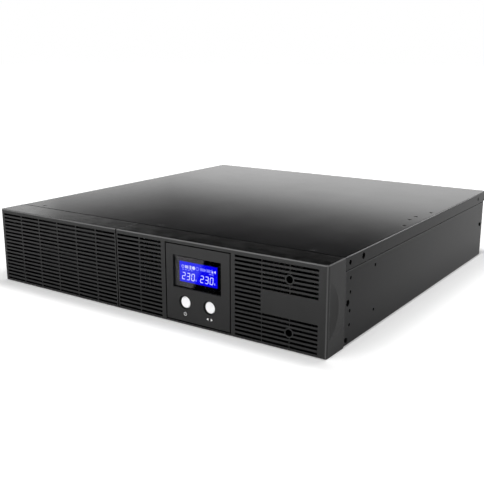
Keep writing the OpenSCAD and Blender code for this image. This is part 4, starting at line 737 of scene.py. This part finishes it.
def draw_digit(marks, digit, u, v):
    """A seven-segment digit with its lower left corner at (u, v), leaning a little to the right."""
    w, half = DIGIT_W, DIGIT_H / 2
    level = {"a": 2 * half, "g": half, "d": 0.0}
    upright = {"f": (0.0, half), "b": (w, half), "e": (0.0, 0.0), "c": (w, 0.0)}
    for name in SEGMENTS[digit]:
        if name in level:
            points = [(p, q + level[name]) for p, q in segment(w)]
        else:
            du, dv = upright[name]
            points = [(q + du, p + dv) for p, q in segment(half)]
        marks.shape([(u + p + DIGIT_LEAN * q, v + q) for p, q in points])


def draw_number(marks, text, u, v, pitch=5.9 * MM):
    for i, digit in enumerate(text):
        draw_digit(marks, digit, u + i * pitch, v)


def draw_battery(marks, u, v, cells):
    """A battery outline with its charge as upright cells."""
    marks.frame(u, v, u + 6.2 * MM, v + 2.6 * MM, 0.3 * MM)
    marks.bar(u + 6.2 * MM, v + 0.8 * MM, u + 6.7 * MM, v + 1.8 * MM)
    for i in range(cells):
        marks.bar(u + (0.8 + 1.3 * i) * MM, v + 0.7 * MM, u + (1.6 + 1.3 * i) * MM, v + 1.9 * MM)


def draw_speaker(marks, u, v):
    marks.bar(u, v - 0.6 * MM, u + 0.8 * MM, v + 0.6 * MM)
    marks.shape([
        (u + 0.8 * MM, v - 0.6 * MM), (u + 2.0 * MM, v - 1.6 * MM),
        (u + 2.0 * MM, v + 1.6 * MM), (u + 0.8 * MM, v + 0.6 * MM),
    ])


def display_marks():
    """Two lit voltage readings, a row of plain status symbols and the black print round the panel."""
    low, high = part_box("screen_panel")
    window_low, window_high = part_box("screen_window")
    lit_w, lit_h = 48.8 * MM, 22.7 * MM  # the panel's lit area
    centre_x, centre_z = (low.x + high.x) / 2, (low.z + high.z) / 2
    left, bottom = centre_x - lit_w / 2, centre_z - lit_h / 2
    bright = glowing_marks("lit_segments", (0.88, 0.92, 1.0, 1.0), 1.3)
    white = glowing_marks("lit_symbols", (0.82, 0.85, 1.0, 1.0), 0.9)
    dim = glowing_marks("dim_segments", (0.4, 0.43, 1.0, 1.0), 1.0)

    readings = Marks(left, low.y, bottom, 0.04 * MM)
    for start in (3.3 * MM, 26.3 * MM):
        draw_number(readings, "230", start, 3.4 * MM)
        readings.bar(start + 17.4 * MM, 3.4 * MM, start + 17.7 * MM, 5.2 * MM)
    readings.piece("display_readings", bright, "display_module")

    row = 16.6 * MM  # middle of the row of symbols above the panel's lower edge
    symbols = Marks(left, low.y, bottom, 0.04 * MM)
    symbols.ring(4.4 * MM, row, 1.6 * MM, 0.4 * MM)
    for i in range(3):
        symbols.bar((7.2 + 1.5 * i) * MM, row - 1.5 * MM, (8.2 + 1.5 * i) * MM, row + 1.5 * MM)
    for i in range(4):
        symbols.bar(12.9 * MM, row + (-1.9 + 1.0 * i) * MM, 15.2 * MM, row + (-1.2 + 1.0 * i) * MM)
    symbols.disc(18.0 * MM, row, 1.9 * MM)
    symbols.shape([(40.5 * MM, row - 1.5 * MM), (42.3 * MM, row - 1.5 * MM), (41.4 * MM, row + 1.5 * MM)])
    draw_speaker(symbols, 43.2 * MM, row)
    symbols.piece("display_symbols", white, "display_module")

    faint = Marks(left, low.y, bottom, 0.04 * MM)
    faint.ring(22.6 * MM, row, 1.8 * MM, 0.35 * MM)
    draw_battery(faint, 26.3 * MM, row - 1.3 * MM, 4)
    draw_battery(faint, 34.2 * MM, row - 1.3 * MM, 3)
    for start in (3.6 * MM, 7.0 * MM, 10.6 * MM, 14.4 * MM, 37.2 * MM, 40.2 * MM):
        faint.bar(start, 13.2 * MM, start + 2.2 * MM, 13.8 * MM)
    faint.piece("display_faint_marks", dim, "display_module")

    border = Marks(0.0, window_high.y + 0.08 * MM, 0.0, 0.07 * MM)
    left, right = left + 0.3 * MM, left + lit_w - 1.3 * MM
    bottom, top = bottom + 0.7 * MM, bottom + lit_h - 0.8 * MM
    border.bar(window_low.x, window_low.z, left, window_high.z)
    border.bar(right, window_low.z, window_high.x, window_high.z)
    border.bar(left, window_low.z, right, bottom)
    border.bar(left, top, right, window_high.z)
    border.piece("window_print", window_black(), "display_module")


def button_symbols():
    """A power sign and a pair of arrows printed under the two buttons."""
    ink = printed_ink("white_ink", srgb(222, 222, 222))
    face_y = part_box("display_housing")[0].y
    for node, draw in (("power_button", draw_power), ("select_button", draw_arrows)):
        low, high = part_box(node)
        marks = Marks((low.x + high.x) / 2, face_y, low.z - 4.4 * MM, 0.03 * MM)
        draw(marks)
        marks.piece(node + "_symbol", ink, "display_module")


def draw_power(marks):
    marks.ring(0.0, 0.0, 1.9 * MM, 0.45 * MM, start=35, sweep=290)
    marks.bar(-0.22 * MM, 0.1 * MM, 0.22 * MM, 2.2 * MM)


def draw_arrows(marks):
    for s in (-1, 1):
        u = s * 2.1 * MM
        marks.shape([(u + s * 1.7 * MM, 0.0), (u - s * 0.6 * MM, 1.4 * MM), (u - s * 0.6 * MM, -1.4 * MM)])


# ---- Studio ----

HORIZON_BAND = 0.2  # sine of the elevation where the bright band along the horizon starts to fade
HORIZON_FADE = 0.0115  # rise in that sine over which it loses half of its light
HORIZON_GLOW = 1.18  # strength of the band
DIP_AZIMUTH = -40.0  # the band sags here, as if a dark panel hung in front of it
DIP_REACH = 20.0  # degrees to either side
DIP_DEPTH = 0.04  # how far it sags, in the same sine
CREST = 0.009  # how far the band rises again past the panel's far end
CREST_START = (-7.0, -11.0)  # degrees past the dip's middle between which it rises
CREST_END = (-25.0, -60.0)  # and between which it falls back to the band's usual height
FLOOR_LIFT = 0.62  # light added to the floor round the case, for the camera alone
FLOOR_LIFT_NEAR = (0.15, 0.34)  # the same right in front of or behind the case, and right beside it; lower than FLOOR_LIFT, which paints a shadow band close round the case
SHADE_START = (0.006, 0.012)  # distances from the case where the added light starts to grow, likewise
SHADE_END = (0.036, 0.06)  # and where it is full
FLOOR_FAR = (0.2, 1.0)  # distances between which the floor brightens to plain white


def soft_box(name, azimuth, elevation, distance, size, power, mirrored=True):
    """A square lamp aimed at the case; without mirrored, its image doesn't show in glossy faces."""
    lamp = bpy.data.lights.new(name, "AREA")
    lamp.shape = "SQUARE"
    lamp.size = size
    lamp.energy = power
    panel = new_object(name, lamp)
    panel.visible_glossy = mirrored
    aim(panel, case_centre + towards(azimuth, elevation) * distance, case_centre)


def make_world():
    """White for the camera; for everything else a bright band near the horizon under a dark ceiling."""
    world = bpy.data.worlds.new("studio")
    world.use_nodes = True
    bpy.context.scene.world = world
    tree = world.node_tree
    tree.nodes.clear()
    direction = add(tree, "ShaderNodeTexCoord").outputs["Generated"]
    x, y, height = add(tree, "ShaderNodeSeparateXYZ", {"Vector": direction}).outputs
    azimuth = math_of(tree, "ARCTAN2", x, y)
    aside = math_of(tree, "ABSOLUTE", math_of(tree, "SUBTRACT", azimuth, math.radians(DIP_AZIMUTH)))
    sagging = remap(tree, aside, 0.0, math.radians(DIP_REACH), HORIZON_BAND - DIP_DEPTH, HORIZON_BAND)
    rise_start, rise_end, fall_start, fall_end = (
        math.radians(DIP_AZIMUTH + degrees) for degrees in CREST_START + CREST_END
    )
    crest = remap(tree, azimuth, fall_end, fall_start, HORIZON_BAND, HORIZON_BAND + CREST)
    outer = remap(tree, azimuth, rise_end, rise_start, crest, HORIZON_BAND - DIP_DEPTH - 0.1 * DIP_DEPTH)
    edge = math_of(tree, "MAXIMUM", sagging, outer)
    above = math_of(tree, "MAXIMUM", math_of(tree, "SUBTRACT", height, edge), 0.0)
    fade = math_of(tree, "POWER", 0.5, math_of(tree, "DIVIDE", above, HORIZON_FADE))
    room = add(
        tree, "ShaderNodeBackground",
        {"Color": (1.0, 1.0, 1.0, 1.0), "Strength": math_of(tree, "MULTIPLY", fade, HORIZON_GLOW)},
    )
    backdrop = add(tree, "ShaderNodeBackground", {"Color": (1.0, 1.0, 1.0, 1.0), "Strength": 1.0})
    seen = add(tree, "ShaderNodeLightPath").outputs["Is Camera Ray"]
    both = add(tree, "ShaderNodeMixShader", {0: seen, 1: room.outputs[0], 2: backdrop.outputs[0]})
    add(tree, "ShaderNodeOutputWorld", {"Surface": both.outputs[0]})


def make_floor():
    """A white floor that keeps the lamps' shadow, adds painted shadow close round the case, and runs out into
    the white background.
    """
    reach = 20.0
    mesh = bpy.data.meshes.new("floor")
    corners = [(-reach, -reach, 0), (reach, -reach, 0), (reach, reach, 0), (-reach, reach, 0)]
    mesh.from_pydata(corners, [], [(0, 1, 2, 3)])
    floor = new_object("floor", mesh)
    floor.location.z = cad_low.z - 0.02 * MM
    material = bpy.data.materials.new("floor")
    material.use_nodes = True
    mesh.materials.append(material)
    tree = material.node_tree
    tree.nodes.clear()
    coords = add(tree, "ShaderNodeTexCoord").outputs["Object"]
    footprint = (cad_high - cad_low) / 2
    folded = add(tree, "ShaderNodeVectorMath", {0: coords}, operation="ABSOLUTE").outputs[0]
    past = add(tree, "ShaderNodeVectorMath", {0: folded, 1: footprint}, operation="SUBTRACT").outputs[0]
    outside = add(tree, "ShaderNodeVectorMath", {0: past, 1: (0, 0, 0)}, operation="MAXIMUM").outputs[0]
    distance = add(tree, "ShaderNodeVectorMath", {0: outside}, operation="LENGTH").outputs["Value"]
    paint = add(tree, "ShaderNodeBsdfDiffuse", {"Color": (0.86, 0.86, 0.86, 1.0)})
    seen = add(tree, "ShaderNodeLightPath").outputs["Is Camera Ray"]
    sideways = add(tree, "ShaderNodeSeparateXYZ", {"Vector": outside}).outputs[0]
    beside = math_of(tree, "DIVIDE", sideways, math_of(tree, "MAXIMUM", distance, 0.01 * MM))
    close, start, end = (
        remap(tree, beside, 0.0, 1.0, *pair) for pair in (FLOOR_LIFT_NEAR, SHADE_START, SHADE_END)
    )
    # Painted shadow: less light is added close round the case.
    near = remap(tree, distance, start, end, close, FLOOR_LIFT, smooth=True)
    glow = math_of(tree, "ADD", near, remap(tree, distance, *FLOOR_FAR, 0.0, 1.0 - FLOOR_LIFT))
    lift = add(
        tree, "ShaderNodeEmission",
        {"Color": (1.0, 1.0, 1.0, 1.0), "Strength": math_of(tree, "MULTIPLY", seen, glow)},
    )
    both = add(tree, "ShaderNodeAddShader", {0: paint.outputs[0], 1: lift.outputs[0]})
    add(tree, "ShaderNodeOutputMaterial", {"Surface": both.outputs[0]})


def make_studio():
    make_world()
    make_floor()
    soft_box("key_light", -10, 60, 2.4, 1.5, 20)
    soft_box("back_light", 162, 32, 2.4, 1.2, 20)
    soft_box("front_light", -12, 12, 2.4, 1.6, 32, mirrored=False)
    soft_box("side_light", 80, 50, 2.4, 1.2, 11)
    bpy.context.scene.view_settings.view_transform = "Standard"


make_camera()
make_studio()
dress_nodes()
display_marks()
button_symbols()
